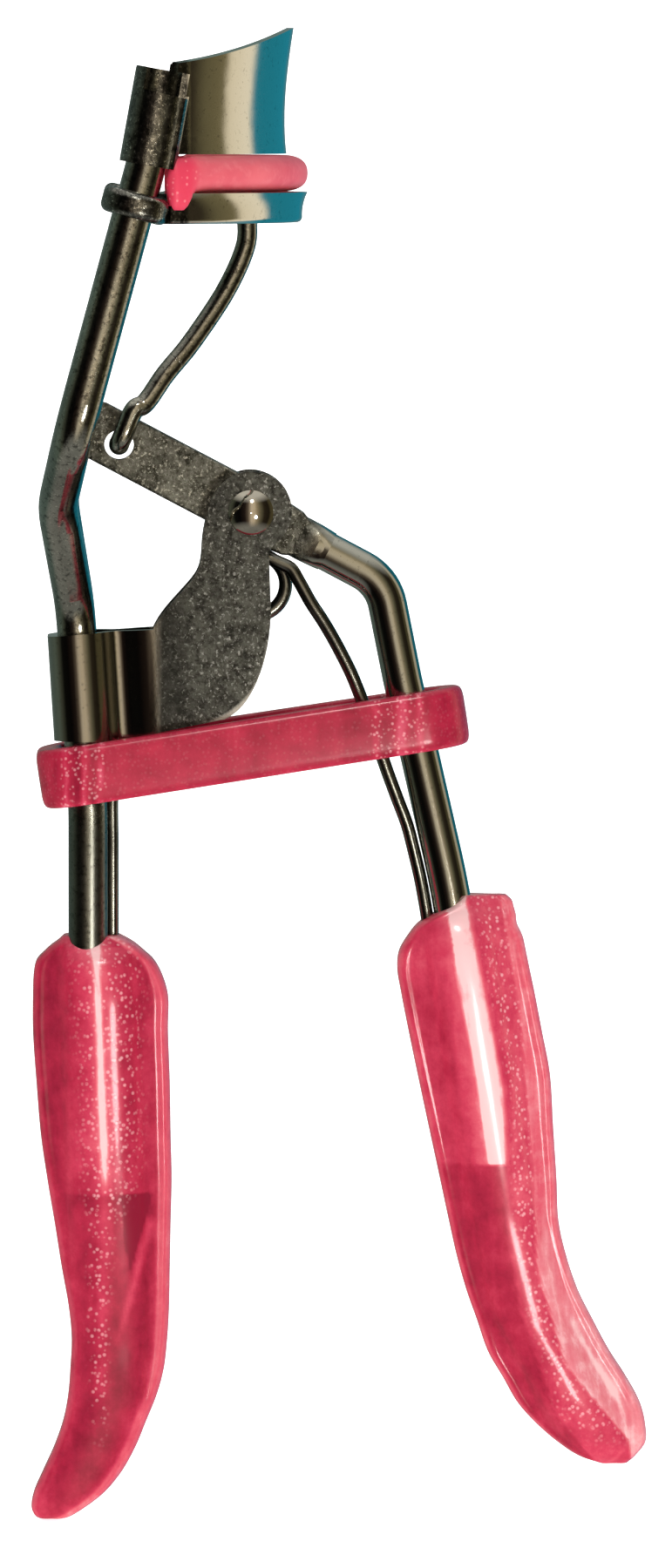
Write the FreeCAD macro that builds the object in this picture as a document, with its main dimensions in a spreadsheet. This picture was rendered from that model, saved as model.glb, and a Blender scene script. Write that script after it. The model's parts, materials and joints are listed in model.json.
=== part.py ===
import FreeCAD, Part
import os
import math
import Sketcher

# An eyelash curler: two guide rods carry a fixed upper jaw and a sliding lower jaw with a
# pad. A link wire joins the lower jaw to a sprung lever, and both handles end in grips.
#
# Millimetres and degrees. Design coordinates: lever pivot at 0,0,0, X from the guide rods
# towards the lever, Y across the jaws (near is -Y, far is +Y), Z up. origin_dx and
# origin_dz then move the whole tool so that its origin is the centre of its footprint.

os.makedirs("parts", exist_ok=True)
doc = FreeCAD.newDocument("eyelash_curler")
V = FreeCAD.Vector
SIDES = (("near", -1), ("far", 1))

# ---------------------------------------------------------------- dimensions
CELLS = [
    ("origin_dx", -6.3658), ("origin_dz", 72.31),
    # guide rods, from the sleeves down to the frame grip
    ("rod_radius", 1.4), ("rod_half_spread", 15.0), ("rod_clamped_half_spread", 1.405),
    ("rod_bend_radius", 5.0), ("rod_bottom_z", -48.2),
    ("sleeve_top_x", -6.27), ("sleeve_top_z", 31.35),
    ("sleeve_foot_x", -7.46), ("sleeve_foot_z", 24.72),
    ("shoulder_x", -12.6), ("shoulder_z", 5.7),
    ("elbow_x", -13.75), ("elbow_y", 8.0), ("elbow_z", 0.6),
    ("collar_x", -12.5), ("collar_z", -6.8), ("shank_x", -11.6), ("shank_z", -21.0),
    # jaws and pad
    ("jaw_sheet", 0.5), ("sleeve_radius", 1.9), ("fit_gap", 0.01), ("running_gap", 0.08),
    ("jaw_apex_x", 2.3), ("jaw_arc_radius", 16.1),
    ("plate_foot_z", 25.46), ("plate_crown_z", 34.4), ("plate_flare", 0.55),
    ("plate_end_z", 31.55), ("plate_half_chord", 14.1),
    ("channel_foot_z", 20.6), ("channel_rim_z", 22.5), ("channel_half_width", 1.35),
    ("channel_half_chord", 14.3), ("channel_flare", 0.4), ("channel_outer_rim_z", 22.75),
    ("eyelet_radius", 2.4), ("eyelet_foot", -2.95), ("eyelet_height", 1.85),
    ("eyelet_round", 0.6),
    ("pad_half_width", 1.76), ("pad_top_z", 25.4), ("pad_stem_half", 0.78),
    ("pad_half_chord", 14.4),
    # link wire and lever
    ("wire_radius", 0.72), ("hook_x", -9.375), ("hook_z", 4.75),
    ("hook_hole_radius", 1.05), ("web_hole_radius", 0.95),
    ("lever_angle", 27.8), ("lever_half_width", 2.05), ("lever_thickness", 2.0),
    ("lever_tail", 13.3), ("lever_neck_half", 1.65), ("lever_neck_at", 4.2),
    ("lever_round_at", 6.2), ("lever_end_round", 0.7),
    # pivot and bracket
    ("pin_radius", 1.2), ("pin_gap", 0.05), ("pin_head_radius", 1.6),
    ("pin_head_height", 0.9),
    ("washer_radius", 2.45), ("washer_thickness", 0.5), ("washer_gap", 0.05),
    ("bracket_sheet", 0.7), ("ear_half_gap", 1.6), ("bracket_foot_z", -16.3),
    ("bracket_top_z", 3.4),
    # spring, band and grips
    ("spring_wire_radius", 0.47), ("coil_radius", 2.2), ("coil_x", 0.31),
    ("coil_z", -5.25), ("coil_pitch", 0.96),
    ("band_height", 4.3), ("band_wall", 2.0), ("band_tilt", 8.7), ("band_x", -11.7),
    ("band_z", -18.6), ("band_far_x", 12.05),
    ("frame_grip_half_depth", 3.9), ("lever_grip_half_depth", 3.9),
]


class Dimensions:
    """The sheet's values, one attribute for each alias."""


dim = Dimensions()
sheet = doc.addObject("Spreadsheet::Sheet", "Dimensions")
for row, (alias, value) in enumerate(CELLS, 1):
    cell = "A%d" % row
    sheet.set(cell, str(value))
    sheet.setAlias(cell, alias)
    setattr(dim, alias, value)
doc.recompute()

ROD = dim.rod_radius
SHEET = dim.jaw_sheet


# ---------------------------------------------------------------- document objects
parts = []


def place(obj):
    obj.Placement = FreeCAD.Placement(V(dim.origin_dx, 0, dim.origin_dz), FreeCAD.Rotation())
    obj.setExpression("Placement.Base.x", "Dimensions.origin_dx")
    obj.setExpression("Placement.Base.z", "Dimensions.origin_dz")
    parts.append(obj)


def feature(name, shape):
    """A piece whose shape is computed from the sheet's sizes."""
    if shape.ShapeType != "Solid" and len(shape.Solids) == 1:
        shape = shape.Solids[0]
    obj = doc.addObject("Part::Feature", name)
    obj.Label = name
    obj.Shape = shape
    place(obj)


def new_body(name):
    body = doc.addObject("PartDesign::Body", name)
    body.Label = name
    place(body)
    return body


def new_sketch(body, name, role):
    sketch = body.newObject("Sketcher::SketchObject", name)
    plane = next(item for item in body.Origin.OriginFeatures if item.Role == role)
    sketch.AttachmentSupport = [(plane, "")]
    sketch.MapMode = "FlatFace"
    return sketch


def add_circle(sketch, expression, radius):
    """A circle round the sketch's origin, its radius bound to the sheet."""
    index = sketch.addGeometry(Part.Circle(V(0, 0, 0), V(0, 0, 1), radius), False)
    sketch.addConstraint(Sketcher.Constraint("Coincident", index, 3, -1, 1))
    constraint = sketch.addConstraint(Sketcher.Constraint("Radius", index, radius))
    sketch.setExpression("Constraints[%d]" % constraint, expression)


# ---------------------------------------------------------------- shape helpers
def lines(points):
    return [Part.makeLine(start, end) for start, end in zip(points, points[1:])]


def polygon_face(corners):
    return Part.Face(Part.makePolygon(corners + [corners[0]]))


def spline_edge(points, **options):
    curve = Part.BSplineCurve()
    curve.interpolate(points, **options)
    return curve.toShape()


def ring_wire(points):
    return Part.Wire([spline_edge(points, PeriodicFlag=True)])


def signed_power(value, power):
    return math.copysign(abs(value) ** power, value)


def circle_edges(solid):
    return [edge for edge in solid.Edges if isinstance(edge.Curve, Part.Circle)]


def largest(shape):
    return max(shape.Solids, key=lambda solid: solid.Volume)


def bent_path(points, radii):
    """Straight legs joined by true arcs, one radius for each inner point."""
    corners = [V(*point) for point in points]
    edges = []
    last = corners[0]
    for before, corner, after, radius in zip(corners, corners[1:], corners[2:], radii):
        back = (before - corner).normalize()
        ahead = (after - corner).normalize()
        half = back.getAngle(ahead) / 2.0
        # a nearly straight corner gets no arc
        if math.pi / 2 - half < 0.004:
            edges.append(Part.makeLine(last, corner))
            last = corner
            continue
        trim = radius / math.tan(half)
        arc_start = corner + back * trim
        arc_end = corner + ahead * trim
        centre = corner + (back + ahead).normalize() * (radius / math.sin(half))
        middle = centre + (corner - centre).normalize() * radius
        if (arc_start - last).Length > 1e-5:
            edges.append(Part.makeLine(last, arc_start))
        edges.append(Part.Arc(arc_start, middle, arc_end).toShape())
        last = arc_end
    edges.append(Part.makeLine(last, corners[-1]))
    return Part.Wire(edges)


def pipe(path, radius):
    """A round bar along a wire."""
    first = path.OrderedEdges[0]
    start = first.valueAt(first.FirstParameter)
    direction = first.tangentAt(first.FirstParameter)
    ring = Part.Wire([Part.makeCircle(radius, start, direction)])
    bar = path.makePipeShell([ring], True, False, 2)
    if bar.Volume < 0:
        bar.reverse()
    return bar.Solids[0] if bar.Solids else bar


def smooth_wire(points, radius, group=6):
    """A round wire along close points: short lofts sharing end rings, sewn into a solid."""
    rings = []
    final = len(points) - 1
    for i, point in enumerate(points):
        tangent = points[min(i + 1, final)] - points[max(i - 1, 0)]
        tangent.normalize()
        circle = Part.makeCircle(radius)
        # every ring starts from the same side, so the skin doesn't twist
        turn = FreeCAD.Rotation(V(0, 1, 0).cross(tangent), V(0, 0, 0), tangent, "ZXY")
        circle.Placement = FreeCAD.Placement(point, turn)
        rings.append(Part.Wire([circle]))
    faces = [Part.Face(rings[0]), Part.Face(rings[-1])]
    i = 0
    while i < final:
        j = min(i + group, final)
        if final - j < 2:
            j = final
        faces.extend(Part.makeLoft(rings[i:j + 1], False, False).Faces)
        i = j
    shell = Part.makeShell(faces)
    shell.sewShape()
    solid = Part.makeSolid(shell if shell.ShapeType == "Shell" else shell.Shells[0])
    if solid.Volume < 0:
        solid.reverse()
    return solid


def resample(points, step):
    """A smooth line through the points, restated at even spacing."""
    dense = []
    padded = [points[0] * 2 - points[1]] + points + [points[-1] * 2 - points[-2]]
    for i in range(1, len(padded) - 2):
        p0, p1, p2, p3 = padded[i - 1:i + 3]
        # centripetal spans, and the tangents they give at p1 and p2
        span0, span1, span2 = [max((end - start).Length, 1e-6) ** 0.5
                               for end, start in ((p1, p0), (p2, p1), (p3, p2))]
        tangent1 = ((p1 - p0) * (1 / span0) - (p2 - p0) * (1 / (span0 + span1))
                    + (p2 - p1) * (1 / span1)) * span1
        tangent2 = ((p2 - p1) * (1 / span1) - (p3 - p1) * (1 / (span1 + span2))
                    + (p3 - p2) * (1 / span2)) * span1
        for j in range(24):
            u = j / 24.0
            dense.append(p1 * (2 * u ** 3 - 3 * u ** 2 + 1) + tangent1 * (u ** 3 - 2 * u ** 2 + u)
                         + p2 * (3 * u ** 2 - 2 * u ** 3) + tangent2 * (u ** 3 - u ** 2))
    dense.append(points[-1])
    total = sum((end - start).Length for start, end in zip(dense, dense[1:]))
    count = int(round(total / step))
    spacing = total / count
    even = [dense[0]]
    covered = 0.0
    for start, end in zip(dense, dense[1:]):
        length = (end - start).Length
        while covered + length >= spacing and len(even) < count:
            start = start + (end - start) * ((spacing - covered) / length)
            length = (end - start).Length
            even.append(start)
            covered = 0.0
        covered += length
    even.append(dense[-1])
    return even


def room_along(points, radius):
    """Round clearance along a run of the spring."""
    room = None
    for start, end in zip(points, points[1:]):
        run = Part.makeCylinder(radius, (end - start).Length, start, end - start)
        for piece in (run, Part.makeSphere(radius, start)):
            room = piece if room is None else room.fuse(piece)
    return room


# ---------------------------------------------------------------- guide rods
FOOT = V(dim.sleeve_foot_x, 0, dim.sleeve_foot_z)
SHOULDER = V(dim.shoulder_x, 0, dim.shoulder_z)
SLEEVE_RUN = V(dim.sleeve_top_x, 0, dim.sleeve_top_z) - FOOT
SLEEVE_LENGTH = SLEEVE_RUN.Length
# unit directions up the rods: along the sliding run, and along the sleeves above it
GUIDE = (FOOT - SHOULDER).normalize()
SLEEVE = V(SLEEVE_RUN).normalize()
ROD_END_SHARE = 0.74  # of the sleeve's length filled by the rod


def rod_foot(side):
    """Where a rod enters its sleeve."""
    return FOOT + V(0, side * dim.rod_half_spread, 0)


def guide_rod(side):
    wide = dim.rod_half_spread * side
    clamped = dim.rod_clamped_half_spread * side
    rise_x = dim.sleeve_top_x - dim.sleeve_foot_x
    rise_z = dim.sleeve_top_z - dim.sleeve_foot_z
    points = [
        (dim.sleeve_foot_x + rise_x * ROD_END_SHARE, wide,
         dim.sleeve_foot_z + rise_z * ROD_END_SHARE),
        (dim.sleeve_foot_x, wide, dim.sleeve_foot_z),
        (dim.shoulder_x, wide, dim.shoulder_z),
        (dim.elbow_x, dim.elbow_y * side, dim.elbow_z),
        (dim.collar_x, clamped, dim.collar_z),
        (dim.shank_x, clamped, dim.shank_z),
        (dim.shank_x, clamped, dim.rod_bottom_z),
    ]
    bend = dim.rod_bend_radius
    return pipe(bent_path(points, [14.0, bend, 9.0, bend, 40.0]), ROD)


rods = [guide_rod(side) for _, side in SIDES]
for (side_name, _), rod in zip(SIDES, rods):
    feature("frame_rod_" + side_name, rod)


# ---------------------------------------------------------------- upper jaw
LIP_SHARE = 0.77  # of the sleeve's length, up to the notch
LIP_FROM, LIP_TO = math.radians(8), math.radians(27)
# square to the sleeve, towards the lever
SLEEVE_FRONT = V(0, 1, 0).cross(SLEEVE).normalize()


def plate_section(z, shift):
    """The curved sheet's outline at one height, its apex shifted along X."""
    radius = dim.jaw_arc_radius
    centre_x = dim.jaw_apex_x + shift - radius
    outer, inner = radius + SHEET / 2, radius - SHEET / 2
    half = math.asin(dim.plate_half_chord / radius)

    def at(r, angle):
        return V(centre_x + r * math.cos(angle), r * math.sin(angle), z)

    return Part.Wire([
        Part.Arc(at(outer, -half), at(outer, 0), at(outer, half)).toShape(),
        Part.makeLine(at(outer, half), at(inner, half)),
        Part.Arc(at(inner, half), at(inner, 0), at(inner, -half)).toShape(),
        Part.makeLine(at(inner, -half), at(outer, -half)),
    ])


def above_plate():
    """The space above the plate's arched top edge, highest at the middle of the jaw."""
    cut_x, cut_y, cut_z = -20, 16, 45
    rise = dim.plate_crown_z - dim.plate_end_z
    arch = []
    for k in range(-8, 9):
        y = k / 8.0 * 14.6
        z = dim.plate_end_z + rise * (math.cos(math.pi * y / 30.4) ** 1.15)
        arch.append(V(cut_x, y, z))
    frame = [arch[-1], V(cut_x, cut_y, arch[-1].z), V(cut_x, cut_y, cut_z),
             V(cut_x, -cut_y, cut_z), V(cut_x, -cut_y, arch[0].z), arch[0]]
    outline = Part.Wire([spline_edge(arch)] + lines(frame))
    return Part.Face(outline).extrude(V(40, 0, 0))


def sleeve_lip(side):
    """A thin lip standing proud along a sleeve, on the side towards the lever."""
    out = V(0, side, 0)
    inner, outer = ROD + 0.2, dim.sleeve_radius + 0.22
    corners = [
        rod_foot(side) + (SLEEVE_FRONT * math.cos(angle) + out * math.sin(angle)) * radius
        for radius, angle in ((inner, LIP_FROM), (outer, LIP_FROM),
                              (outer, (LIP_FROM + LIP_TO) / 2), (outer, LIP_TO), (inner, LIP_TO))
    ]
    return polygon_face(corners).extrude(SLEEVE * (SLEEVE_LENGTH * LIP_SHARE))


def sleeve_notch(side):
    """Cuts away the top of a sleeve towards the lever, so the rod's end shows."""
    out = V(0, side, 0)
    corner = (rod_foot(side) + SLEEVE * (SLEEVE_LENGTH * LIP_SHARE)
              + SLEEVE_FRONT * (-1.15) + out * 0.35)
    front = corner + SLEEVE_FRONT * 4.0
    drop = SLEEVE * 0.25
    corners = [corner, front - drop, front + out * 3.0 - drop, corner + out * 3.0]
    return polygon_face(corners).extrude(SLEEVE * 3.0)


def upper_jaw():
    # height and apex shift of each section
    foot_z = dim.plate_foot_z
    stations = ((foot_z, 0.0), (foot_z + 3.2, -0.12), (foot_z + 6.2, 0.12),
                (dim.plate_crown_z + 0.3, dim.plate_flare))
    jaw = Part.makeLoft([plate_section(z, shift) for z, shift in stations], True, False)
    jaw = jaw.cut(above_plate())
    for side in (-1, 1):
        jaw = jaw.fuse(Part.makeCylinder(dim.sleeve_radius, SLEEVE_LENGTH, rod_foot(side), SLEEVE))
    for side in (-1, 1):
        jaw = jaw.fuse(sleeve_lip(side))
    for side in (-1, 1):
        jaw = jaw.cut(Part.makeCylinder(ROD + dim.fit_gap, SLEEVE_LENGTH + 6,
                                        rod_foot(side) - SLEEVE * 3, SLEEVE))
    for side in (-1, 1):
        jaw = jaw.cut(sleeve_notch(side))
    return jaw.removeSplitter()


feature("upper_jaw_plate", upper_jaw())


# ---------------------------------------------------------------- lower jaw
FLOOR = dim.channel_foot_z
CHANNEL_INSIDE = FLOOR + SHEET
LUG_X = -0.28
LUG_RADIUS = 1.75


def turned(profile, half_chord):
    """A section swept round the jaw's arc.

    Points are (offset outwards from the arc, height); runs of three points are arcs.
    """
    half = math.degrees(math.asin(half_chord / dim.jaw_arc_radius))
    centre_x = dim.jaw_apex_x - dim.jaw_arc_radius
    edges = []
    for run in profile:
        points = [V(centre_x + dim.jaw_arc_radius + offset, 0, z) for offset, z in run]
        if len(points) == 2:
            edges.append(Part.makeLine(*points))
        else:
            edges.append(Part.Arc(*points).toShape())
    face = Part.Face(Part.Wire(edges))
    face.rotate(V(centre_x, 0, 0), V(0, 0, 1), -half)
    return face.revolve(V(centre_x, 0, 0), V(0, 0, 1), 2 * half)


def channel():
    """The trough that holds the pad; its outer wall flares and stands higher."""
    half = dim.channel_half_width
    rim, outer_rim = dim.channel_rim_z, dim.channel_outer_rim_z
    tip = half + dim.channel_flare
    wall = half - SHEET
    clear_z = 24.0
    trough = turned([
        [(-half, rim), (-half, FLOOR + 0.4)],
        [(-half, FLOOR + 0.4), (-half + 0.12, FLOOR + 0.12), (-half + 0.4, FLOOR)],
        [(-half + 0.4, FLOOR), (half - 0.4, FLOOR)],
        [(half - 0.4, FLOOR), (half - 0.1, FLOOR + 0.1), (half + 0.02, FLOOR + 0.4)],
        [(half + 0.02, FLOOR + 0.4), (half + 0.12, FLOOR + 1.4), (tip, outer_rim)],
        [(tip, outer_rim), (tip - SHEET, outer_rim)],
        [(tip - SHEET, outer_rim), (-half, rim)],
    ], dim.channel_half_chord)
    # shorter than the trough, which leaves its ends closed
    groove = turned([
        [(-wall, clear_z), (-wall, CHANNEL_INSIDE)],
        [(-wall, CHANNEL_INSIDE), (wall + 0.02, CHANNEL_INSIDE)],
        [(wall + 0.02, CHANNEL_INSIDE), (wall + 0.08, FLOOR + 1.4), (tip - SHEET, outer_rim)],
        [(tip - SHEET, outer_rim), (tip - SHEET, clear_z)],
        [(tip - SHEET, clear_z), (-wall, clear_z)],
    ], dim.channel_half_chord - 1.0)
    return trough.cut(groove)


def lower_jaw():
    jaw = channel()
    for side in (-1, 1):
        base = rod_foot(side) + GUIDE * (dim.eyelet_foot - dim.eyelet_height / 2 + 0.05)
        eyelet = Part.makeCylinder(dim.eyelet_radius, dim.eyelet_height, base, GUIDE)
        jaw = jaw.fuse(eyelet.makeFillet(dim.eyelet_round, circle_edges(eyelet)))
    for side in (-1, 1):
        jaw = jaw.cut(Part.makeCylinder(ROD + dim.running_gap, 20,
                                        rod_foot(side) - GUIDE * 12, GUIDE))
    # the lug at the channel's floor carries the link's upper end
    lug = Part.makeCylinder(LUG_RADIUS, SHEET, V(LUG_X, 0, FLOOR), V(0, 0, 1)).fuse(
        Part.makeBox(dim.jaw_apex_x - LUG_X, 2 * LUG_RADIUS, SHEET, V(LUG_X, -LUG_RADIUS, FLOOR)))
    jaw = jaw.fuse(lug)
    jaw = jaw.cut(Part.makeCylinder(dim.web_hole_radius, 3, V(LUG_X, 0, FLOOR - 1), V(0, 0, 1)))
    return jaw.removeSplitter()


feature("lower_jaw_channel", lower_jaw())


# ---------------------------------------------------------------- pad
def lash_pad():
    half, top, stem_half = dim.pad_half_width, dim.pad_top_z, dim.pad_stem_half
    head_z, widest_z, stem_z = 22.84, 23.8, 23.4
    stem_foot = CHANNEL_INSIDE + 0.05
    head = turned([
        [(-1.0, head_z), (-half, widest_z), (-0.4, top)],
        [(-0.4, top), (0.4, top)],
        [(0.4, top), (half, widest_z), (1.0, head_z)],
        [(1.0, head_z), (-1.0, head_z)],
    ], dim.pad_half_chord)
    stem = turned([
        [(-stem_half, stem_z), (-stem_half, stem_foot)],
        [(-stem_half, stem_foot), (stem_half, stem_foot)],
        [(stem_half, stem_foot), (stem_half, stem_z)],
        [(stem_half, stem_z), (-stem_half, stem_z)],
    ], dim.channel_half_chord - 1.05)
    pad = head.fuse(stem)
    # room for the link's head under the pad
    pad = pad.cut(Part.makeBox(6.0, 4.4, 2.25, V(-3.6, -2.2, CHANNEL_INSIDE - 0.5)))
    # room for the rods, sleeves and eyelets
    for side in (-1, 1):
        base = rod_foot(side)
        pad = pad.cut(Part.makeCylinder(ROD + 0.2, 30, base - GUIDE * 14, GUIDE))
        for gap in (0.1, 0.35):
            pad = pad.cut(Part.makeCylinder(dim.sleeve_radius + gap, 9, base - SLEEVE * 0.1, SLEEVE))
        eyelet_base = base + GUIDE * (dim.eyelet_foot - dim.eyelet_height / 2)
        pad = pad.cut(Part.makeCylinder(dim.eyelet_radius + 0.05, dim.eyelet_height + 0.12,
                                        eyelet_base, GUIDE))
    return largest(pad).removeSplitter()


feature("lash_pad", lash_pad())


# ---------------------------------------------------------------- link wire
def link_wire():
    """Runs from the lug down to the lever's tail, then turns across into its hole."""
    radius = dim.wire_radius
    beside_y = -(dim.lever_thickness / 2 + radius + 0.15)
    hook_x, hook_z = dim.hook_x, dim.hook_z
    turn_direction = V(-0.35, 0, -1).normalize()
    drop = Part.BSplineCurve()
    drop.interpolate(
        [V(LUG_X, 0, 21.5), V(LUG_X, 0, 19.3), V(-0.75, -0.05, 17.8), V(-2.16, -0.25, 15.06),
         V(-3.4, -0.5, 13.2), V(-4.8, -0.85, 11.3), V(-6.35, -1.3, 9.4), V(-7.75, -1.7, 7.56),
         V(hook_x + 0.55, beside_y, 6.1)],
        InitialTangent=V(0, 0, -1), FinalTangent=turn_direction)
    turn_end = V(hook_x, beside_y + 1.15, hook_z)
    turn = spline_edge(
        [drop.value(drop.LastParameter), V(hook_x + 0.12, beside_y + 0.27, hook_z + 0.33),
         turn_end],
        InitialTangent=turn_direction, FinalTangent=V(0, 1, 0))
    hook = Part.makeLine(turn_end, V(hook_x, dim.lever_thickness / 2 + 0.75, hook_z))
    link = pipe(Part.Wire([drop.toShape(), turn, hook]), radius)
    # the head that rests on the lug
    head_z = CHANNEL_INSIDE + 0.16
    head = Part.makeCylinder(0.62 + radius * 0.5, 0.55, V(LUG_X, 0, head_z), V(0, 0, 1))
    head = head.makeFillet(0.25, [edge for edge in circle_edges(head)
                                  if edge.BoundBox.ZMin > head_z + 0.3])
    return link.fuse(head).removeSplitter()


feature("link_wire", link_wire())


# ---------------------------------------------------------------- lever arm
LEVER_TILT = math.radians(dim.lever_angle)
ALONG = V(math.cos(LEVER_TILT), 0, -math.sin(LEVER_TILT))
ACROSS = V(math.sin(LEVER_TILT), 0, math.cos(LEVER_TILT))


def on_lever(along, across, y=0.0):
    """A point from its distances along and across the tilted bar."""
    point = ALONG * along + ACROSS * across
    return V(point.x, y, point.z)


def lever_bar():
    thick, half, tail = dim.lever_thickness, dim.lever_half_width, dim.lever_tail
    neck, neck_at = dim.lever_neck_half, dim.lever_neck_at
    outline = [(-tail, -half), (0.0, -half), (neck_at - 0.8, -neck - 0.05), (neck_at, -neck + 0.3),
               (neck_at, neck - 0.3), (neck_at - 0.8, neck + 0.05), (0.0, half), (-tail, half)]
    corners = [on_lever(along, across, -thick / 2) for along, across in outline]
    bar = polygon_face(corners).extrude(V(0, thick, 0))
    tail_edges = [edge for edge in bar.Edges if abs(edge.Length - thick) < 1e-6
                  and edge.CenterOfMass.dot(ALONG) < -tail + 0.01]
    bar = bar.makeFillet(dim.lever_end_round, tail_edges)
    rim = [edge for edge in bar.Edges if abs(abs(edge.CenterOfMass.y) - thick / 2) < 1e-6
           and edge.CenterOfMass.dot(ALONG) < neck_at - 0.01]
    # the fine rounding of the rim can fail; the bar then keeps sharp rims
    try:
        soft = bar.makeFillet(0.22, rim)
        if soft.isValid():
            bar = soft
    except Exception:
        pass
    return bar


def neck_ring(along, half_width, half_depth, squareness):
    """A superellipse square to the bar; a squareness of 2 is a plain ellipse."""
    power = 2.0 / squareness
    points = []
    for i in range(24):
        angle = 2 * math.pi * i / 24
        points.append(on_lever(along, half_width * signed_power(math.cos(angle), power),
                               half_depth * signed_power(math.sin(angle), power)))
    return ring_wire(points)


def lever_neck():
    """Blends the flat bar into the round rod."""
    neck, half_thick = dim.lever_neck_half, dim.lever_thickness / 2
    return Part.makeLoft([
        neck_ring(dim.lever_neck_at - 0.9, neck * 0.9, half_thick * 0.86, 5.0),
        neck_ring(dim.lever_neck_at + 0.8, (neck + ROD) / 2, (half_thick + ROD) / 2 + 0.05, 3.0),
        neck_ring(dim.lever_round_at, ROD + 0.05, ROD + 0.05, 2.0),
    ], True, False)


def across_hole(radius, x, z):
    return Part.makeCylinder(radius, 10, V(x, -5, z), V(0, 1, 0))


rod_start = on_lever(dim.lever_round_at - 0.9, 0)
LEVER_PATH = [(rod_start.x, 0, rod_start.z), (9.45, 0, -5.0), (10.85, 0, -12.0),
              (14.2, 0, -26.6), (17.4, 0, -46.4)]
lever_rod = pipe(bent_path(LEVER_PATH, [3.6, 18.0, 60.0]), ROD)

lever = lever_bar().fuse(lever_neck()).fuse(lever_rod)
lever = lever.cut(across_hole(dim.hook_hole_radius, dim.hook_x, dim.hook_z))
lever = lever.cut(across_hole(dim.pin_radius + dim.pin_gap, 0, 0))
feature("lever_arm", lever.removeSplitter())


# ---------------------------------------------------------------- pivot rivet
def rivet_head(body, index, sign):
    """A domed head with a short straight lip, turned about the Y axis."""
    sketch = new_sketch(body, "head_profile_%d" % index, "XY_Plane")
    radius, height, lip_height = dim.pin_head_radius, dim.pin_head_height, 0.22
    base_y = (dim.ear_half_gap + dim.bracket_sheet) * sign
    rise = height - lip_height
    dome = (radius * radius + rise * rise) / (2 * rise)
    dome_y = base_y + sign * (height - dome)
    centre, edge = V(0, base_y, 0), V(radius, base_y, 0)
    lip = V(radius, base_y + sign * lip_height, 0)
    crown = V(0, base_y + sign * height, 0)
    lip_angle = math.atan2(lip.y - dome_y, lip.x)
    angle = (lip_angle + sign * math.pi / 2) / 2
    middle = V(dome * math.cos(angle), dome_y + dome * math.sin(angle), 0)
    sketch.addGeometry(Part.LineSegment(centre, edge), False)
    sketch.addGeometry(Part.LineSegment(edge, lip), False)
    sketch.addGeometry(Part.Arc(lip, middle, crown), False)
    sketch.addGeometry(Part.LineSegment(crown, centre), False)
    head = body.newObject("PartDesign::Revolution", "head_%d" % index)
    head.Profile = sketch
    head.ReferenceAxis = (sketch, ["V_Axis"])
    head.Angle = 360


rivet = new_body("pivot_rivet")
shank_sketch = new_sketch(rivet, "shank_ring", "XZ_Plane")
add_circle(shank_sketch, "Dimensions.pin_radius", dim.pin_radius)
shank = rivet.newObject("PartDesign::Pad", "shank")
shank.Profile = shank_sketch
shank.Midplane = True
shank.setExpression("Length", "2 * (Dimensions.ear_half_gap + Dimensions.bracket_sheet) + 0.2")
for index, sign in enumerate((1, -1)):
    rivet_head(rivet, index, sign)


# ---------------------------------------------------------------- washers
def washer(side_name, lift):
    body = new_body("pivot_washer_" + side_name)
    sketch = new_sketch(body, "ring_" + side_name, "XZ_Plane")
    add_circle(sketch, "Dimensions.washer_radius", dim.washer_radius)
    add_circle(sketch, "Dimensions.pin_radius + Dimensions.pin_gap", dim.pin_radius + dim.pin_gap)
    sketch.setExpression("AttachmentOffset.Base.z", lift)
    disc = body.newObject("PartDesign::Pad", "disc_" + side_name)
    disc.Profile = sketch
    disc.setExpression("Length", "Dimensions.washer_thickness")


# the XZ plane's normal points to -Y, and both discs are padded that way
LEVER_FACE = "Dimensions.lever_thickness / 2 + Dimensions.washer_gap"
washer("near", "1 * (%s)" % LEVER_FACE)
washer("far", "-1 * (%s + Dimensions.washer_thickness)" % LEVER_FACE)

# ---------------------------------------------------------------- pivot bracket
# Side view of the ears, as (x, z) runs: two points are a line, more are a spline.
EAR_OUTLINE = [
    [(-14.9, -8.9), (-14.9, -17.0)],
    [(-14.9, -17.0), (-9.6, -16.4)],
    [(-9.6, -16.4), (-6.75, -15.75)],
    [(-6.75, -15.75), (-1.9, -14.75)],
    [(-1.9, -14.75), (-0.95, -14.15), (0.375, -12.2), (1.19, -9.5), (1.44, -7.2)],
    [(1.44, -7.2), (1.3, -3.4)],
    [(1.3, -3.4), (1.45, -2.55), (2.1, -1.9), (2.62, -1.2), (2.9, -0.2), (2.75, 1.05),
     (1.9, 2.22), (0.6, 2.85), (-0.6, 2.85), (-1.95, 2.15), (-2.85, 0.85), (-3.2, -0.5),
     (-3.45, -1.9), (-3.75, -4.1), (-4.6, -5.3), (-5.9, -6.75), (-6.95, -8.35)],
    [(-6.95, -8.35), (-10.8, -8.55)],
    [(-10.8, -8.55), (-14.9, -8.9)],
]
# Side view of the turned-in lower rim, as (x, z): its outer line, then back inside.
RIM_OUTLINE = [
    (-8.3, -15.95), (-6.75, -15.75), (-1.9, -14.75), (-0.95, -14.15), (0.375, -12.2),
    (1.0, -10.2), (1.28, -8.6),
    (0.6, -8.6), (0.35, -10.0), (-0.25, -11.9), (-1.35, -13.65), (-2.2, -14.1),
    (-6.75, -15.1), (-8.3, -15.4),
]
# Sheet's inner line from the far rod to the far ear, as (x from the rod's axis, y).
WAIST = [(1.75, 1.55), (2.3, 1.02), (2.9, 0.9), (3.5, 0.98), (4.2, 1.3), (4.9, 1.55),
         (5.6, dim.ear_half_gap)]
EAR_END_X = 7.0  # the ears are drawn this far, then trimmed to their outline


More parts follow.
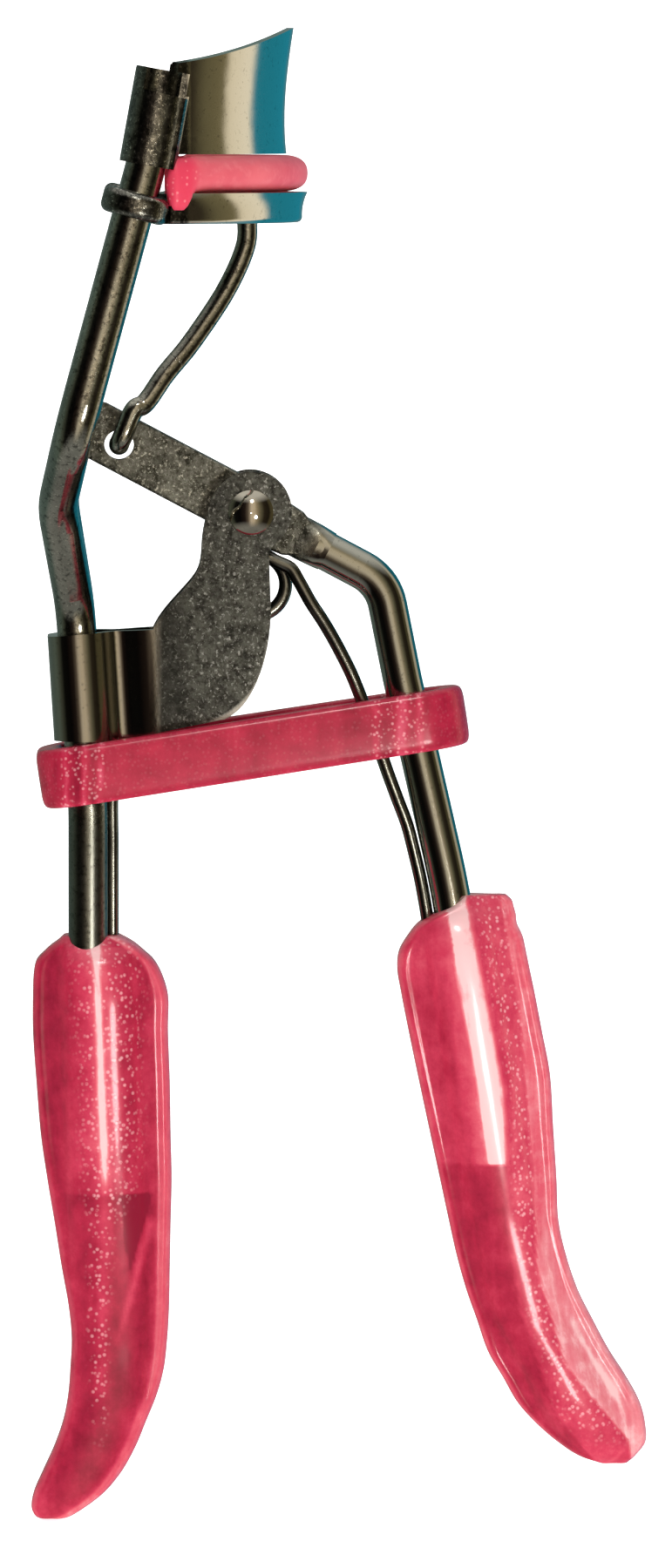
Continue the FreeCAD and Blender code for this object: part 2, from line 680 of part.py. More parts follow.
def offset_left(points, distance):
    """The line moved to the left of its own direction; its ends run along X."""
    moved = []
    final = len(points) - 1
    for i, (x, y) in enumerate(points):
        x0, y0 = points[max(i - 1, 0)]
        x1, y1 = points[min(i + 1, final)]
        dx, dy = x1 - x0, y1 - y0
        if i in (0, final):
            dx, dy = (-1.0 if i == 0 else 1.0), 0.0
        length = math.hypot(dx, dy)
        moved.append((x - dy / length * distance, y + dx / length * distance))
    return moved


def bracket_sheet():
    """The sheet wrapped round both rods, with an ear each side of the lever."""
    foot_z = dim.bracket_foot_z
    collar = V(dim.collar_x, 0, dim.collar_z)
    lean = (V(dim.shank_x, 0, dim.shank_z) - collar).normalize()
    # the rods' axis where it meets the bracket's foot
    axis_x = dim.collar_x + lean.x * ((foot_z - dim.collar_z) / lean.z)
    axis_y = dim.rod_clamped_half_spread
    wrap = ROD + dim.fit_gap
    far_half = [(axis_x - wrap, 0.0), (axis_x - wrap, 0.7), (axis_x - wrap, axis_y)]
    angles = [math.pi - k * math.pi / 2 / 7 for k in range(1, 8)]
    angles += [math.pi / 2 - k * math.radians(17) for k in range(1, 4)]
    for angle in angles:
        far_half.append((axis_x + wrap * math.cos(angle), axis_y + wrap * math.sin(angle)))
    far_half += [(axis_x + x, y) for x, y in WAIST]
    # from the near ear round the rods to the far ear, so the outside is on the left
    inner = [(x, -y) for x, y in reversed(far_half)] + far_half[1:]
    inner = [V(x, y, foot_z) for x, y in inner]
    outer = [V(x, y, foot_z)
             for x, y in offset_left([(point.x, point.y) for point in inner], dim.bracket_sheet)]
    edges = [spline_edge(inner), spline_edge(outer)]
    for end in (0, -1):
        inside, outside = inner[end], outer[end]
        edges += lines([inside, V(EAR_END_X, inside.y, foot_z),
                        V(EAR_END_X, outside.y, foot_z), outside])
    profile = Part.Wire(Part.__sortEdges__(edges))
    return Part.Face(profile).extrude(lean * ((dim.bracket_top_z - foot_z) / lean.z))


def ear_mask():
    half = 8
    edges = []
    for run in EAR_OUTLINE:
        points = [V(x, -half, z) for x, z in run]
        edges.append(Part.makeLine(*points) if len(points) == 2 else spline_edge(points))
    return Part.Face(Part.Wire(edges)).extrude(V(0, 2 * half, 0))


def pivot_bracket():
    mask = ear_mask()
    shape = bracket_sheet().common(mask)
    rim_half = dim.ear_half_gap + 0.02
    rim = polygon_face([V(x, -rim_half, z) for x, z in RIM_OUTLINE])
    rim = rim.extrude(V(0, 2 * rim_half, 0))
    shape = shape.fuse(rim.common(mask))
    pin_hole = Part.makeCylinder(dim.pin_radius + 0.005, 20, V(0, -10, 0), V(0, 1, 0))
    return shape.cut(pin_hole).removeSplitter()


bracket = pivot_bracket()
feature("pivot_bracket", bracket)

# ---------------------------------------------------------------- return spring
SPRING = dim.spring_wire_radius
COIL_FROM, COIL_TO = math.radians(62), math.radians(137) + 4 * math.pi
COIL_STEPS = 72
COIL_WIDTH = dim.coil_pitch * (COIL_TO - COIL_FROM) / (2 * math.pi)
FRAME_LEG_X = -9.88
# Foot of the leg on the lever side: height, and its angle off the vertical in degrees.
LEG_FOOT = [(-31.0, 9.2), (-29.5, 9.2), (-28.06, 9.6), (-26.2, 12.9)]
# The same leg from there up to the coil, as (x, z).
LEG_RISE = [
    (11.69, -24.3), (11.19, -22.4), (10.5, -20.56), (9.81, -18.7), (8.94, -16.2),
    (7.67, -12.75), (7.15, -11.5), (6.53, -10.25), (5.86, -9.0), (5.12, -7.75),
    (4.30, -6.5), (3.42, -4.93), (2.86, -4.04), (2.13, -3.67),
]
# Leg on the frame side, from the coil down.
FRAME_LEG = [V(-4.4, 0.75, -8.3), V(-7.6, 0.4, -13.0), V(-9.35, 0.1, -16.3), V(-9.85, 0.0, -19.5)]
FRAME_LEG += [V(FRAME_LEG_X, 0.0, z) for z in (-24.0, -28.0, -32.0, -36.0)]


def lever_rod_x(z):
    """Axis of the lever's rod where it runs down beside the spring's leg."""
    (x0, _, z0), (x1, _, z1), (x2, _, z2) = LEVER_PATH[2:5]
    if z > z1:
        return x0 + (x1 - x0) * (z - z0) / (z1 - z0)
    return x1 + (x2 - x1) * (z - z1) / (z2 - z1)


def spring_points():
    # the leg lies against the rod's inner side at the bottom and leans off it higher up
    points = [V(lever_rod_x(z) - (ROD + SPRING + 0.05) / math.cos(math.radians(slope)), 0, z)
              for z, slope in LEG_FOOT]
    for i, (x, z) in enumerate(LEG_RISE):
        points.append(V(x, -COIL_WIDTH / 2 * min(1.0, (i + 1) / 11.0), z))
    for i in range(COIL_STEPS + 1):
        angle = COIL_FROM + (COIL_TO - COIL_FROM) * i / COIL_STEPS
        points.append(V(dim.coil_x + dim.coil_radius * math.cos(angle),
                        COIL_WIDTH * (i / COIL_STEPS - 0.5),
                        dim.coil_z + dim.coil_radius * math.sin(angle)))
    return points + FRAME_LEG


# a coarse line for the clearances, a fine one for the wire itself
spring_line = resample(spring_points(), 1.7)
feature("return_spring", smooth_wire(resample(spring_points(), 0.55), SPRING))


# ---------------------------------------------------------------- closure band
def belt(extra, height):
    """A solid belt round the rod pair at one end and the lever rod at the other."""
    radius = ROD + 0.06 + extra
    pair_y = dim.rod_clamped_half_spread
    reach = (dim.band_far_x - dim.band_x) / math.cos(math.radians(dim.band_tilt))
    # the straight sides are tangent to two circles of equal radius
    slope = math.atan2(pair_y, reach)
    out_x, out_y = radius * math.sin(slope), radius * math.cos(slope)
    middle = (math.pi / 2 - slope + math.pi) / 2

    def flip(point):
        return V(point.x, -point.y, 0)

    back = V(-radius, pair_y, 0)
    corner = V(radius * math.cos(middle), pair_y + radius * math.sin(middle), 0)
    start = V(out_x, pair_y + out_y, 0)
    end = V(reach + out_x, out_y, 0)
    outline = Part.Wire([
        Part.Arc(back, corner, start).toShape(),
        Part.makeLine(start, end),
        Part.Arc(end, V(reach + radius, 0, 0), flip(end)).toShape(),
        Part.makeLine(flip(end), flip(start)),
        Part.Arc(flip(start), flip(corner), flip(back)).toShape(),
        Part.makeLine(flip(back), back),
    ])
    return Part.Face(outline).extrude(V(0, 0, height))


def closure_band():
    height = dim.band_height
    band = belt(dim.band_wall, height)
    # the rounding of the rims can fail; the band then keeps sharp rims
    try:
        band = band.makeFillet(0.6, [edge for edge in band.Edges
                                     if abs(edge.CenterOfMass.z) < 1e-6
                                     or abs(edge.CenterOfMass.z - height) < 1e-6])
    except Exception:
        pass
    hollow = belt(0.0, height + 4)
    hollow.translate(V(0, 0, -2))
    band = band.cut(hollow)
    band.translate(V(0, 0, -height / 2))
    band.rotate(V(0, 0, 0), V(0, 1, 0), -dim.band_tilt)
    band.translate(V(dim.band_x, 0, dim.band_z))
    spring_room = [room_along(run, SPRING + 0.12)
                   for run in (spring_line[4:18], spring_line[-18:-4])]
    for cutter in rods + [lever_rod, bracket] + spring_room:
        band = band.cut(cutter)
    return largest(band)


feature("closure_band", closure_band())

# ---------------------------------------------------------------- grips
# Level sections from the top down: height, lowest x, highest x, share of the full depth.
FRAME_ROWS = [
    (-30.31, -13.35, -9.30, 0.50), (-30.69, -13.76, -8.59, 0.62), (-31.00, -14.20, -8.12, 0.71),
    (-31.44, -14.69, -7.60, 0.79), (-32.12, -15.30, -6.88, 0.90), (-33.06, -15.50, -6.35, 0.96),
    (-34.62, -15.56, -5.88, 1.00), (-37.12, -15.56, -5.88, 1.00), (-40.88, -15.31, -5.75, 0.99),
    (-44.62, -15.00, -5.69, 0.97), (-47.75, -14.55, -5.62, 0.94), (-50.88, -14.03, -5.69, 0.89),
    (-54.00, -13.54, -5.75, 0.85), (-57.12, -13.00, -5.81, 0.80), (-59.31, -12.81, -5.94, 0.77),
    (-61.50, -12.91, -6.19, 0.76), (-63.38, -13.06, -6.70, 0.73), (-65.25, -13.41, -7.45, 0.70),
    (-67.12, -14.05, -8.22, 0.68), (-69.00, -14.90, -9.28, 0.67), (-70.38, -15.50, -10.46, 0.61),
    (-71.50, -15.69, -11.91, 0.49), (-72.12, -15.39, -12.91, 0.36), (-72.31, -15.06, -13.44, 0.20),
]
LEVER_ROWS = [
    (-27.44, 15.33, 18.29, 0.41), (-27.81, 14.94, 18.70, 0.50), (-28.25, 14.30, 18.83, 0.57),
    (-28.81, 13.11, 18.99, 0.69), (-29.50, 12.00, 19.08, 0.80), (-30.38, 11.27, 19.48, 0.89),
    (-31.50, 10.64, 19.73, 0.96), (-32.75, 10.51, 19.99, 0.99), (-34.62, 10.81, 20.38, 1.00),
    (-37.12, 11.30, 20.86, 1.00), (-40.25, 11.95, 21.45, 0.99), (-44.00, 12.75, 21.69, 0.95),
    (-47.75, 13.56, 21.94, 0.91), (-50.88, 14.23, 22.10, 0.86), (-53.38, 14.79, 22.66, 0.86),
    (-55.88, 15.49, 23.51, 0.88), (-58.06, 16.26, 24.59, 0.90), (-60.25, 17.02, 25.76, 0.93),
    (-62.12, 18.10, 26.96, 0.94), (-64.00, 19.19, 27.98, 0.94), (-65.56, 20.60, 28.36, 0.85),
    (-66.81, 22.06, 28.38, 0.73), (-67.75, 23.51, 27.70, 0.54), (-68.31, 25.02, 27.08, 0.32),
]


def grip(rows, half_depth, cutters):
    wires = []
    for z, x_low, x_high, share in rows:
        half_width = (x_high - x_low) / 2
        centre_x = (x_high + x_low) / 2
        points = []
        for i in range(20):
            angle = 2 * math.pi * i / 20
            points.append(V(centre_x + half_width * math.cos(angle),
                            half_depth * share * signed_power(math.sin(angle), 0.9), z))
        wires.append(ring_wire(points))
    shape = Part.makeLoft(wires, True, False)
    for cutter in cutters:
        shape = shape.cut(cutter)
    return largest(shape)


frame_leg_room = Part.makeCylinder(SPRING + 0.06, 12, V(FRAME_LEG_X, 0, -36.3), V(0, 0, 1))
feature("frame_grip", grip(FRAME_ROWS, dim.frame_grip_half_depth, rods + [frame_leg_room]))

# the leg's end slides in a short slot as the handles open
leg_end = [spring_line[0] + V(-0.2, 0, -0.6)] + spring_line[:5]
leg_slot = room_along(leg_end, SPRING + 0.12)
feature("lever_grip", grip(LEVER_ROWS, dim.lever_grip_half_depth, [lever_rod, leg_slot]))

# ---------------------------------------------------------------- check and write
doc.recompute()
for obj in doc.Objects:
    for word in ("Invalid", "Error"):
        if word in obj.State:
            raise RuntimeError("%s is %s" % (obj.Name, word))
for obj in parts:
    if obj.Shape.isNull() or not obj.Shape.isValid():
        raise RuntimeError("%s has no valid shape" % obj.Label)
    obj.Shape.exportStep("parts/%s.step" % obj.Label)
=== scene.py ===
"""An eyelash curler standing upright: jaws and lash pad at the top, two moulded grips at the bottom.

Design millimetres are measured from the lever hinge: x runs right, from the frame side to the
lever side, z runs up, and -y is the near side, towards the camera. The metal comes from the CAD
frame; the grips, return spring, closure band and lash pad are built here in place of its pieces.
"""
import json
import math

import bmesh
import bpy
import numpy as np
from mathutils import Matrix, Vector


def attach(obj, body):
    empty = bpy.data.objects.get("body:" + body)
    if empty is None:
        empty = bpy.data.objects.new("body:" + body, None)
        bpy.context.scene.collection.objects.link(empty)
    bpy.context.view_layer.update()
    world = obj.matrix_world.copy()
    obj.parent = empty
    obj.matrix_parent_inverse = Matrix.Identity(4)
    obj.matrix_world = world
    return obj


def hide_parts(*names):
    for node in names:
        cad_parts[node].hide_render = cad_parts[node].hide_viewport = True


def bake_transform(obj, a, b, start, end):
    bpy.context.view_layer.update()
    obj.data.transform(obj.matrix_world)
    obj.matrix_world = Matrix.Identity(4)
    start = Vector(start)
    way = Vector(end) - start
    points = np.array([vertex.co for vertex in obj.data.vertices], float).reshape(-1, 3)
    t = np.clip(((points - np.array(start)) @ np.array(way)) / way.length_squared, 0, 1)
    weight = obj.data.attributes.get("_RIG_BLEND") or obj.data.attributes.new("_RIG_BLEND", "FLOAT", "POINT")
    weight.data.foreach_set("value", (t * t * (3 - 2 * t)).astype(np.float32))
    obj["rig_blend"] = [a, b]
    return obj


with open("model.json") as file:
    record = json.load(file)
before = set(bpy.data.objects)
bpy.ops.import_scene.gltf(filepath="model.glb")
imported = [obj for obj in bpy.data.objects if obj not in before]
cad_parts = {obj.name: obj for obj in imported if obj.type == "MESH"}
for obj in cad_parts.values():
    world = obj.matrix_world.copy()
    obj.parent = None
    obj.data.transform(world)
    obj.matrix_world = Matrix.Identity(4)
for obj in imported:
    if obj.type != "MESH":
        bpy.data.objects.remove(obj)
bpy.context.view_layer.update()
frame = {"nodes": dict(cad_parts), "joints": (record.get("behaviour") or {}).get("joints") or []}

MM = 0.001
HINGE = next(j for j in frame["joints"] if j["name"] == "lever_hinge")["pos_m"]
ORIGIN_MM = {"X": HINGE[0] / MM, "Z": HINGE[2] / MM}
ROD_RADIUS = 1.4  # the frame and lever rods


def place(x, y, z):
    """Design millimetres to frame metres."""
    return Vector(((x + ORIGIN_MM["X"]) * MM, y * MM, (z + ORIGIN_MM["Z"]) * MM))


# ------------------------------------------------------------ shapes and curves
def ease(value, start, end):
    """Smooth step from 0 at start to 1 at end."""
    t = min(1.0, max(0.0, (value - start) / (end - start)))
    return t * t * (3 - 2 * t)


def peak(x, centre, width, power=2):
    """1 at the centre, falling away on both sides; a higher power gives a flatter top."""
    return math.exp(-((x - centre) / width) ** power)


def signed_power(value, exponent):
    return math.copysign(abs(value) ** exponent, value)


def unit(vector):
    return vector / np.linalg.norm(vector)


def table_at(table, z):
    """Value at height z in a table of (z, value) that runs downwards."""
    heights, values = zip(*reversed(table))
    return float(np.interp(z, heights, values))


def between(p, q, start, end, t):
    return ((end - t) * p + (t - start) * q) / (end - start)


def smooth_curve(points, step):
    """Centripetal Catmull-Rom curve through the points, sampled about every step."""
    pts = [np.array(p, float) for p in points]
    pts = [2 * pts[0] - pts[1]] + pts + [2 * pts[-1] - pts[-2]]
    curve = []
    for p0, p1, p2, p3 in zip(pts, pts[1:], pts[2:], pts[3:]):
        t0 = 0.0
        t1 = t0 + np.linalg.norm(p1 - p0) ** 0.5
        t2 = t1 + np.linalg.norm(p2 - p1) ** 0.5
        t3 = t2 + np.linalg.norm(p3 - p2) ** 0.5
        count = math.ceil(np.linalg.norm(p2 - p1) / step)
        for k in range(count):
            t = t1 + (t2 - t1) * k / count
            a1 = between(p0, p1, t0, t1, t)
            a2 = between(p1, p2, t1, t2, t)
            a3 = between(p2, p3, t2, t3, t)
            b1 = between(a1, a2, t0, t2, t)
            b2 = between(a2, a3, t1, t3, t)
            curve.append(between(b1, b2, t1, t2, t))
    curve.append(pts[-2])
    return curve


def loft(name, rings, closed=False):
    """Skin over equal rings of design points: joined into a loop, or capped by a fan at each end."""
    size, count = len(rings[0]), len(rings)
    verts = [tuple(place(*p)) for ring in rings for p in ring]
    faces = []
    for i in range(count if closed else count - 1):
        i2 = (i + 1) % count
        for j in range(size):
            j2 = (j + 1) % size
            faces.append((i * size + j, i * size + j2, i2 * size + j2, i2 * size + j))
    if not closed:
        for i in (0, count - 1):
            hub = len(verts)
            verts.append(tuple(place(*np.mean(np.array(rings[i], float), axis=0))))
            faces += [(hub, i * size + j, i * size + (j + 1) % size) for j in range(size)]
    mesh = bpy.data.meshes.new(name)
    mesh.from_pydata(verts, [], faces)
    mesh.validate()
    mesh.update()
    ob = bpy.data.objects.new(name, mesh)
    bpy.context.scene.collection.objects.link(ob)
    bm = bmesh.new()
    bm.from_mesh(mesh)
    bmesh.ops.recalc_face_normals(bm, faces=bm.faces)
    bm.to_mesh(mesh)
    bm.free()
    shade_smooth(mesh)
    return ob


def shade_smooth(mesh):
    for polygon in mesh.polygons:
        polygon.use_smooth = True


def store(ob, tone, speck=None):
    """Per-vertex 'tone' (depth of colour, with painted highlights and shade in it) and 'speck' (amount of
    bubbles) for the soft materials.
    """
    speck = speck or [0.0] * len(ob.data.vertices)
    for name, values in (("tone", tone), ("speck", speck)):
        attribute = ob.data.attributes.new(name, "FLOAT", "POINT")
        attribute.data.foreach_set("value", np.array(values, dtype=np.float32))


# -------------------------------------------------------------------- node trees
def srgb(*rgb):
    """An sRGB colour of 0 to 255 as linear RGBA."""
    def linear(c):
        c /= 255.0
        return c / 12.92 if c <= 0.04045 else ((c + 0.055) / 1.055) ** 2.4
    return tuple(linear(c) for c in rgb) + (1.0,)


def rgba(value):
    if isinstance(value, (int, float)):
        return (value, value, value, 1.0)
    return value + (1.0,) * (4 - len(value))


class Nodes:
    """Short forms for adding nodes; each takes numbers, colours or outputs, and returns an output."""

    def __init__(self, tree):
        self.tree = tree

    def node(self, kind, **settings):
        node = self.tree.nodes.new(kind)
        for key, value in settings.items():
            setattr(node, key, value)
        return node

    def feed(self, socket, value):
        if isinstance(value, (int, float)):
            socket.default_value = value
        elif isinstance(value, tuple):
            socket.default_value = value + (1.0,) * (len(socket.default_value) - len(value))
        else:
            self.tree.links.new(value, socket)

    def feed_all(self, node, inputs):
        for key, value in inputs.items():
            self.feed(node.inputs[key], value)
        return node

    def math(self, operation, *values, clamp=False):
        node = self.node("ShaderNodeMath", operation=operation, use_clamp=clamp)
        return self.feed_all(node, dict(enumerate(values))).outputs[0]

    def add(self, a, b):
        return self.math("ADD", a, b)

    def minus(self, a, b):
        return self.math("SUBTRACT", a, b)

    def times(self, a, b):
        return self.math("MULTIPLY", a, b)

    def inverse(self, value):
        return self.minus(1.0, value)

    def mix(self, factor, a, b):
        node = self.node("ShaderNodeMix", data_type="RGBA")
        return self.feed_all(node, {0: factor, 6: a, 7: b}).outputs[2]

    def map_range(self, value, start, end, interpolation="LINEAR"):
        node = self.node("ShaderNodeMapRange", interpolation_type=interpolation)
        self.feed_all(node, {"From Min": start, "From Max": end, "Value": value})
        return node.outputs[0]

    def step(self, value, start, end):
        """Smooth step from 0 at start to 1 at end."""
        return self.map_range(value, start, end, "SMOOTHSTEP")

    def ramp(self, factor, stops):
        """Colour ramp over (position, colour or grey) stops."""
        node = self.node("ShaderNodeValToRGB")
        elements = node.color_ramp.elements
        while len(elements) > 1:
            elements.remove(elements[-1])
        elements[0].position = stops[0][0]
        elements[0].color = rgba(stops[0][1])
        for position, colour in stops[1:]:
            elements.new(position).color = rgba(colour)
        self.feed(node.inputs["Fac"], factor)
        return node.outputs["Color"]

    def rise(self, factor, start, end, top=1.0):
        return self.ramp(factor, [(start, 0.0), (end, top)])

    def fall(self, factor, start, end):
        return self.ramp(factor, [(start, 1.0), (end, 0.0)])

    def separate(self, vector):
        return self.feed_all(self.node("ShaderNodeSeparateXYZ"), {0: vector}).outputs


class Material(Nodes):
    """Nodes around one Principled shader, with textures in object coordinates."""

    def __init__(self, name):
        self.material = bpy.data.materials.new(name)
        self.material.use_nodes = True
        super().__init__(self.material.node_tree)
        self.coords = self.node("ShaderNodeTexCoord").outputs["Object"]

    def noise(self, scale, detail, rough, stretch=None):
        node = self.node("ShaderNodeTexNoise")
        source = self.coords
        if stretch:
            mapping = self.node("ShaderNodeMapping")
            source = self.feed_all(mapping, {"Scale": stretch, "Vector": source}).outputs["Vector"]
        self.feed_all(node, {"Scale": scale, "Detail": detail, "Roughness": rough,
                             "Vector": source})
        return node.outputs["Fac"]

    def voronoi(self, scale):
        node = self.node("ShaderNodeTexVoronoi")
        return self.feed_all(node, {"Scale": scale, "Vector": self.coords}).outputs["Distance"]

    def attribute(self, name):
        return self.node("ShaderNodeAttribute", attribute_name=name).outputs["Fac"]

    def bump(self, height, strength, distance):
        node = self.node("ShaderNodeBump")
        self.feed_all(node, {"Strength": strength, "Distance": distance, "Height": height})
        return node.outputs["Normal"]

    def place_mm(self, axes):
        """Design millimetres of the shaded point along each of the axes."""
        parts = self.separate(self.coords)
        return [self.minus(self.times(parts[axis], 1.0 / MM), ORIGIN_MM[axis]) for axis in axes]

    def finish(self, inputs):
        self.feed_all(self.tree.nodes["Principled BSDF"], inputs)
        return self.material


# --------------------------------------------------------------- metal materials
def plated(name, base, dark, least_rough, speck):
    """Dark nickel plate: polished, with cloudy patches and dark freckles."""
    m = Material(name)
    patches = m.noise(scale=160, detail=3, rough=0.6)
    fine = m.noise(scale=2600, detail=4, rough=0.7)
    waves = m.noise(scale=420, detail=2, rough=0.5)
    colour = m.mix(m.rise(patches, start=0.35, end=0.7), dark, base)
    freckles = m.fall(fine, start=0.30, end=0.42)
    colour = m.mix(m.times(freckles, speck), colour, (0.05, 0.045, 0.035))
    height = m.add(m.times(waves, 0.16), m.times(fine, 0.25))
    return m.finish({
        "Metallic": 1.0,
        "Base Color": colour,
        "Roughness": m.add(m.times(fine, 0.16), least_rough),
        "Normal": m.bump(height, strength=0.25, distance=0.00002)})


def rod_plate():
    """Plated rods: bright and freckled above the band, flecked with painted glints; where they run down to
    the grips, rougher, and darker by painted shade.
    """
    m = Material("dark_nickel")
    [z] = m.place_mm("Z")
    low = m.inverse(m.step(z, start=-24.0, end=-17.0))
    patches = m.noise(scale=190, detail=3, rough=0.6)
    fine = m.noise(scale=2400, detail=4, rough=0.75)
    grit = m.noise(scale=5200, detail=2, rough=0.8)
    waves = m.noise(scale=420, detail=2, rough=0.5)
    dark, base = (0.25, 0.245, 0.21), (0.40, 0.395, 0.34)
    freckle, glint, dull = (0.035, 0.033, 0.027), (0.78, 0.75, 0.64), (0.10, 0.105, 0.09)
    colour = m.mix(m.rise(patches, start=0.35, end=0.68), dark, base)
    colour = m.mix(m.times(m.fall(fine, start=0.36, end=0.48), 0.75), colour, freckle)
    # painted glints: bright specks mixed into the plate colour
    colour = m.mix(m.times(m.rise(grit, start=0.58, end=0.72), 0.55), colour, glint)
    # painted shade: the rods below the band are darkened towards the dull colour
    colour = m.mix(m.times(low, 0.62), colour, dull)
    roughness = m.add(m.times(fine, 0.18), 0.05)
    height = m.add(m.times(waves, 0.2), m.times(fine, 0.6))
    return m.finish({
        "Metallic": 1.0,
        "Base Color": colour,
        "Roughness": m.add(roughness, m.times(low, 0.16)),
        "Normal": m.bump(height, strength=0.4, distance=0.00002)})


def two_finish(name, polish_mask, dull, shine, grit=0.95, dull_rough=0.30, painted_light=None):
    """A blasted surface that turns to mirror plate where the mask is 1.

    dull is the blasted (base, dark, light), shine the plate; grit is the height of the blasting. On the jaw,
    dull gives the crimped sleeves a darker colour of painted shade.
    """
    m = Material(name)
    mask = polish_mask(m)
    unpolished = m.inverse(mask)
    coarse = m.noise(scale=1500, detail=5, rough=0.75)
    fine = m.noise(scale=3800, detail=3, rough=0.8)
    patches = m.noise(scale=300, detail=3, rough=0.6)
    freckles = m.noise(scale=2600, detail=4, rough=0.7)
    base, dark, light = dull
    colour = m.mix(m.rise(coarse, start=0.38, end=0.6), dark, base)
    colour = m.mix(m.rise(fine, start=0.56, end=0.70), colour, light)
    colour = m.mix(m.rise(patches, start=0.45, end=0.75, top=0.45), colour, dark)
    if painted_light:
        colour = painted_light(m, colour)
    freckle = tuple(0.6 * c for c in shine)
    polished = m.mix(m.rise(freckles, start=0.28, end=0.42), freckle, shine)
    rough = m.times(m.add(m.times(fine, 0.25), dull_rough), unpolished)
    grain = m.add(coarse, m.times(fine, 0.5))
    height = m.times(grain, m.add(m.times(unpolished, grit), 0.03))
    return m.finish({
        "Metallic": 1.0,
        "Base Color": m.mix(mask, colour, polished),
        "Roughness": m.add(rough, m.times(mask, 0.11)),
        "Normal": m.bump(height, strength=0.8, distance=0.00008)})


def jaw_polish_vs_shaded_sleeves(m):
    [x] = m.place_mm("X")
    return m.step(x, start=-4.7, end=-4.3)


def bracket_polish(m):
    [x] = m.place_mm("X")
    return m.inverse(m.step(x, start=-7.2, end=-6.2))


def lever_polish(m):
    """Polished from about 5 mm out, measured down along the lever arm."""
    x, z = m.place_mm("XZ")
    along = m.minus(m.times(x, 0.8846), m.times(z, 0.4664))
    return m.step(along, start=4.2, end=5.6)


def ear_shade_and_rim_highlight(m, colour):
    """Paints shade over the bracket's ear to the left and a highlight along its round rim low on the right.
    """
    x, z = m.place_mm("XZ")
    dx = m.add(x, 4.7)
    dz = m.add(z, 9.4)
    radius = m.math("SQRT", m.add(m.times(dx, dx), m.times(dz, dz)))
    low = m.inverse(m.step(z, start=-11.0, end=-8.8))
    rim = m.times(m.step(radius, start=5.62, end=5.90), low)
    rim = m.times(rim, m.step(x, start=-3.6, end=-2.2))
    left_shade = m.inverse(m.step(x, start=-6.3, end=-3.2))
    # painted shade over the left of the ear
    colour = m.mix(m.times(left_shade, 0.65), colour, (0.018, 0.018, 0.016))
    # painted highlight along the round rim, low on the right
    return m.mix(m.times(rim, 0.65), colour, (0.66, 0.64, 0.58))


NICKEL = rod_plate()
# painted shade: the crimped sleeves, left of x = -4.5, take the darker dull colours, with light specks and a
# little grit
JAW = two_finish(
    "jaw_nickel", jaw_polish_vs_shaded_sleeves,
    dull=((0.26, 0.255, 0.225), (0.05, 0.05, 0.044), (0.80, 0.78, 0.70)),
    shine=(0.80, 0.77, 0.69), grit=0.35, dull_rough=0.08)
RIVET = plated("rivet_nickel", base=(0.46, 0.43, 0.36), dark=(0.34, 0.31, 0.26),
               least_rough=0.0, speck=0.3)
SPRING = plated("spring_nickel", base=(0.24, 0.24, 0.21), dark=(0.12, 0.12, 0.105),
                least_rough=0.14, speck=0.6)
EAR = two_finish(
    "bracket_grain", bracket_polish,
    dull=((0.105, 0.107, 0.095), (0.022, 0.022, 0.02), (0.42, 0.42, 0.38)),
    shine=(0.34, 0.32, 0.27), painted_light=ear_shade_and_rim_highlight)
LEVER = two_finish(
    "lever_grain", lever_polish,
    dull=((0.17, 0.17, 0.145), (0.03, 0.03, 0.024), (0.62, 0.60, 0.50)),
    shine=(0.36, 0.355, 0.305))


# ---------------------------------------------------------------- soft materials
def pad_silicone():
    """Matt pink silicone, deeper at the ends, where 'tone' is 1, and flecked there with painted highlight
    spots.
    """
    m = Material("pad_silicone")
    deep, mid = srgb(206, 76, 92), srgb(219, 98, 108)
    light, ends = srgb(234, 138, 143), srgb(216, 54, 82)
    patches = m.noise(scale=220, detail=3, rough=0.6)
    fine = m.noise(scale=1400, detail=4, rough=0.6)
    colour = m.mix(m.rise(patches, start=0.3, end=0.7), deep, mid)
    colour = m.mix(m.times(m.rise(fine, start=0.5, end=0.8), 0.4), colour, light)
    # painted highlights: light spots on the pad's ends
    highlight_dots = m.fall(m.voronoi(scale=2100), start=0.12, end=0.26)
    ends_with_highlight_dots = m.mix(m.times(highlight_dots, 0.6), ends, light)
    return m.finish({
        "Base Color": m.mix(m.attribute("tone"), colour, ends_with_highlight_dots),
        "Roughness": m.add(m.times(fine, 0.2), 0.32),
        "Subsurface Weight": 0.25,
        "Subsurface Radius": (0.004, 0.0012, 0.0012),
        "Subsurface Scale": 0.5,
        "IOR": 1.42,
        "Normal": m.bump(fine, strength=0.12, distance=0.00004)})


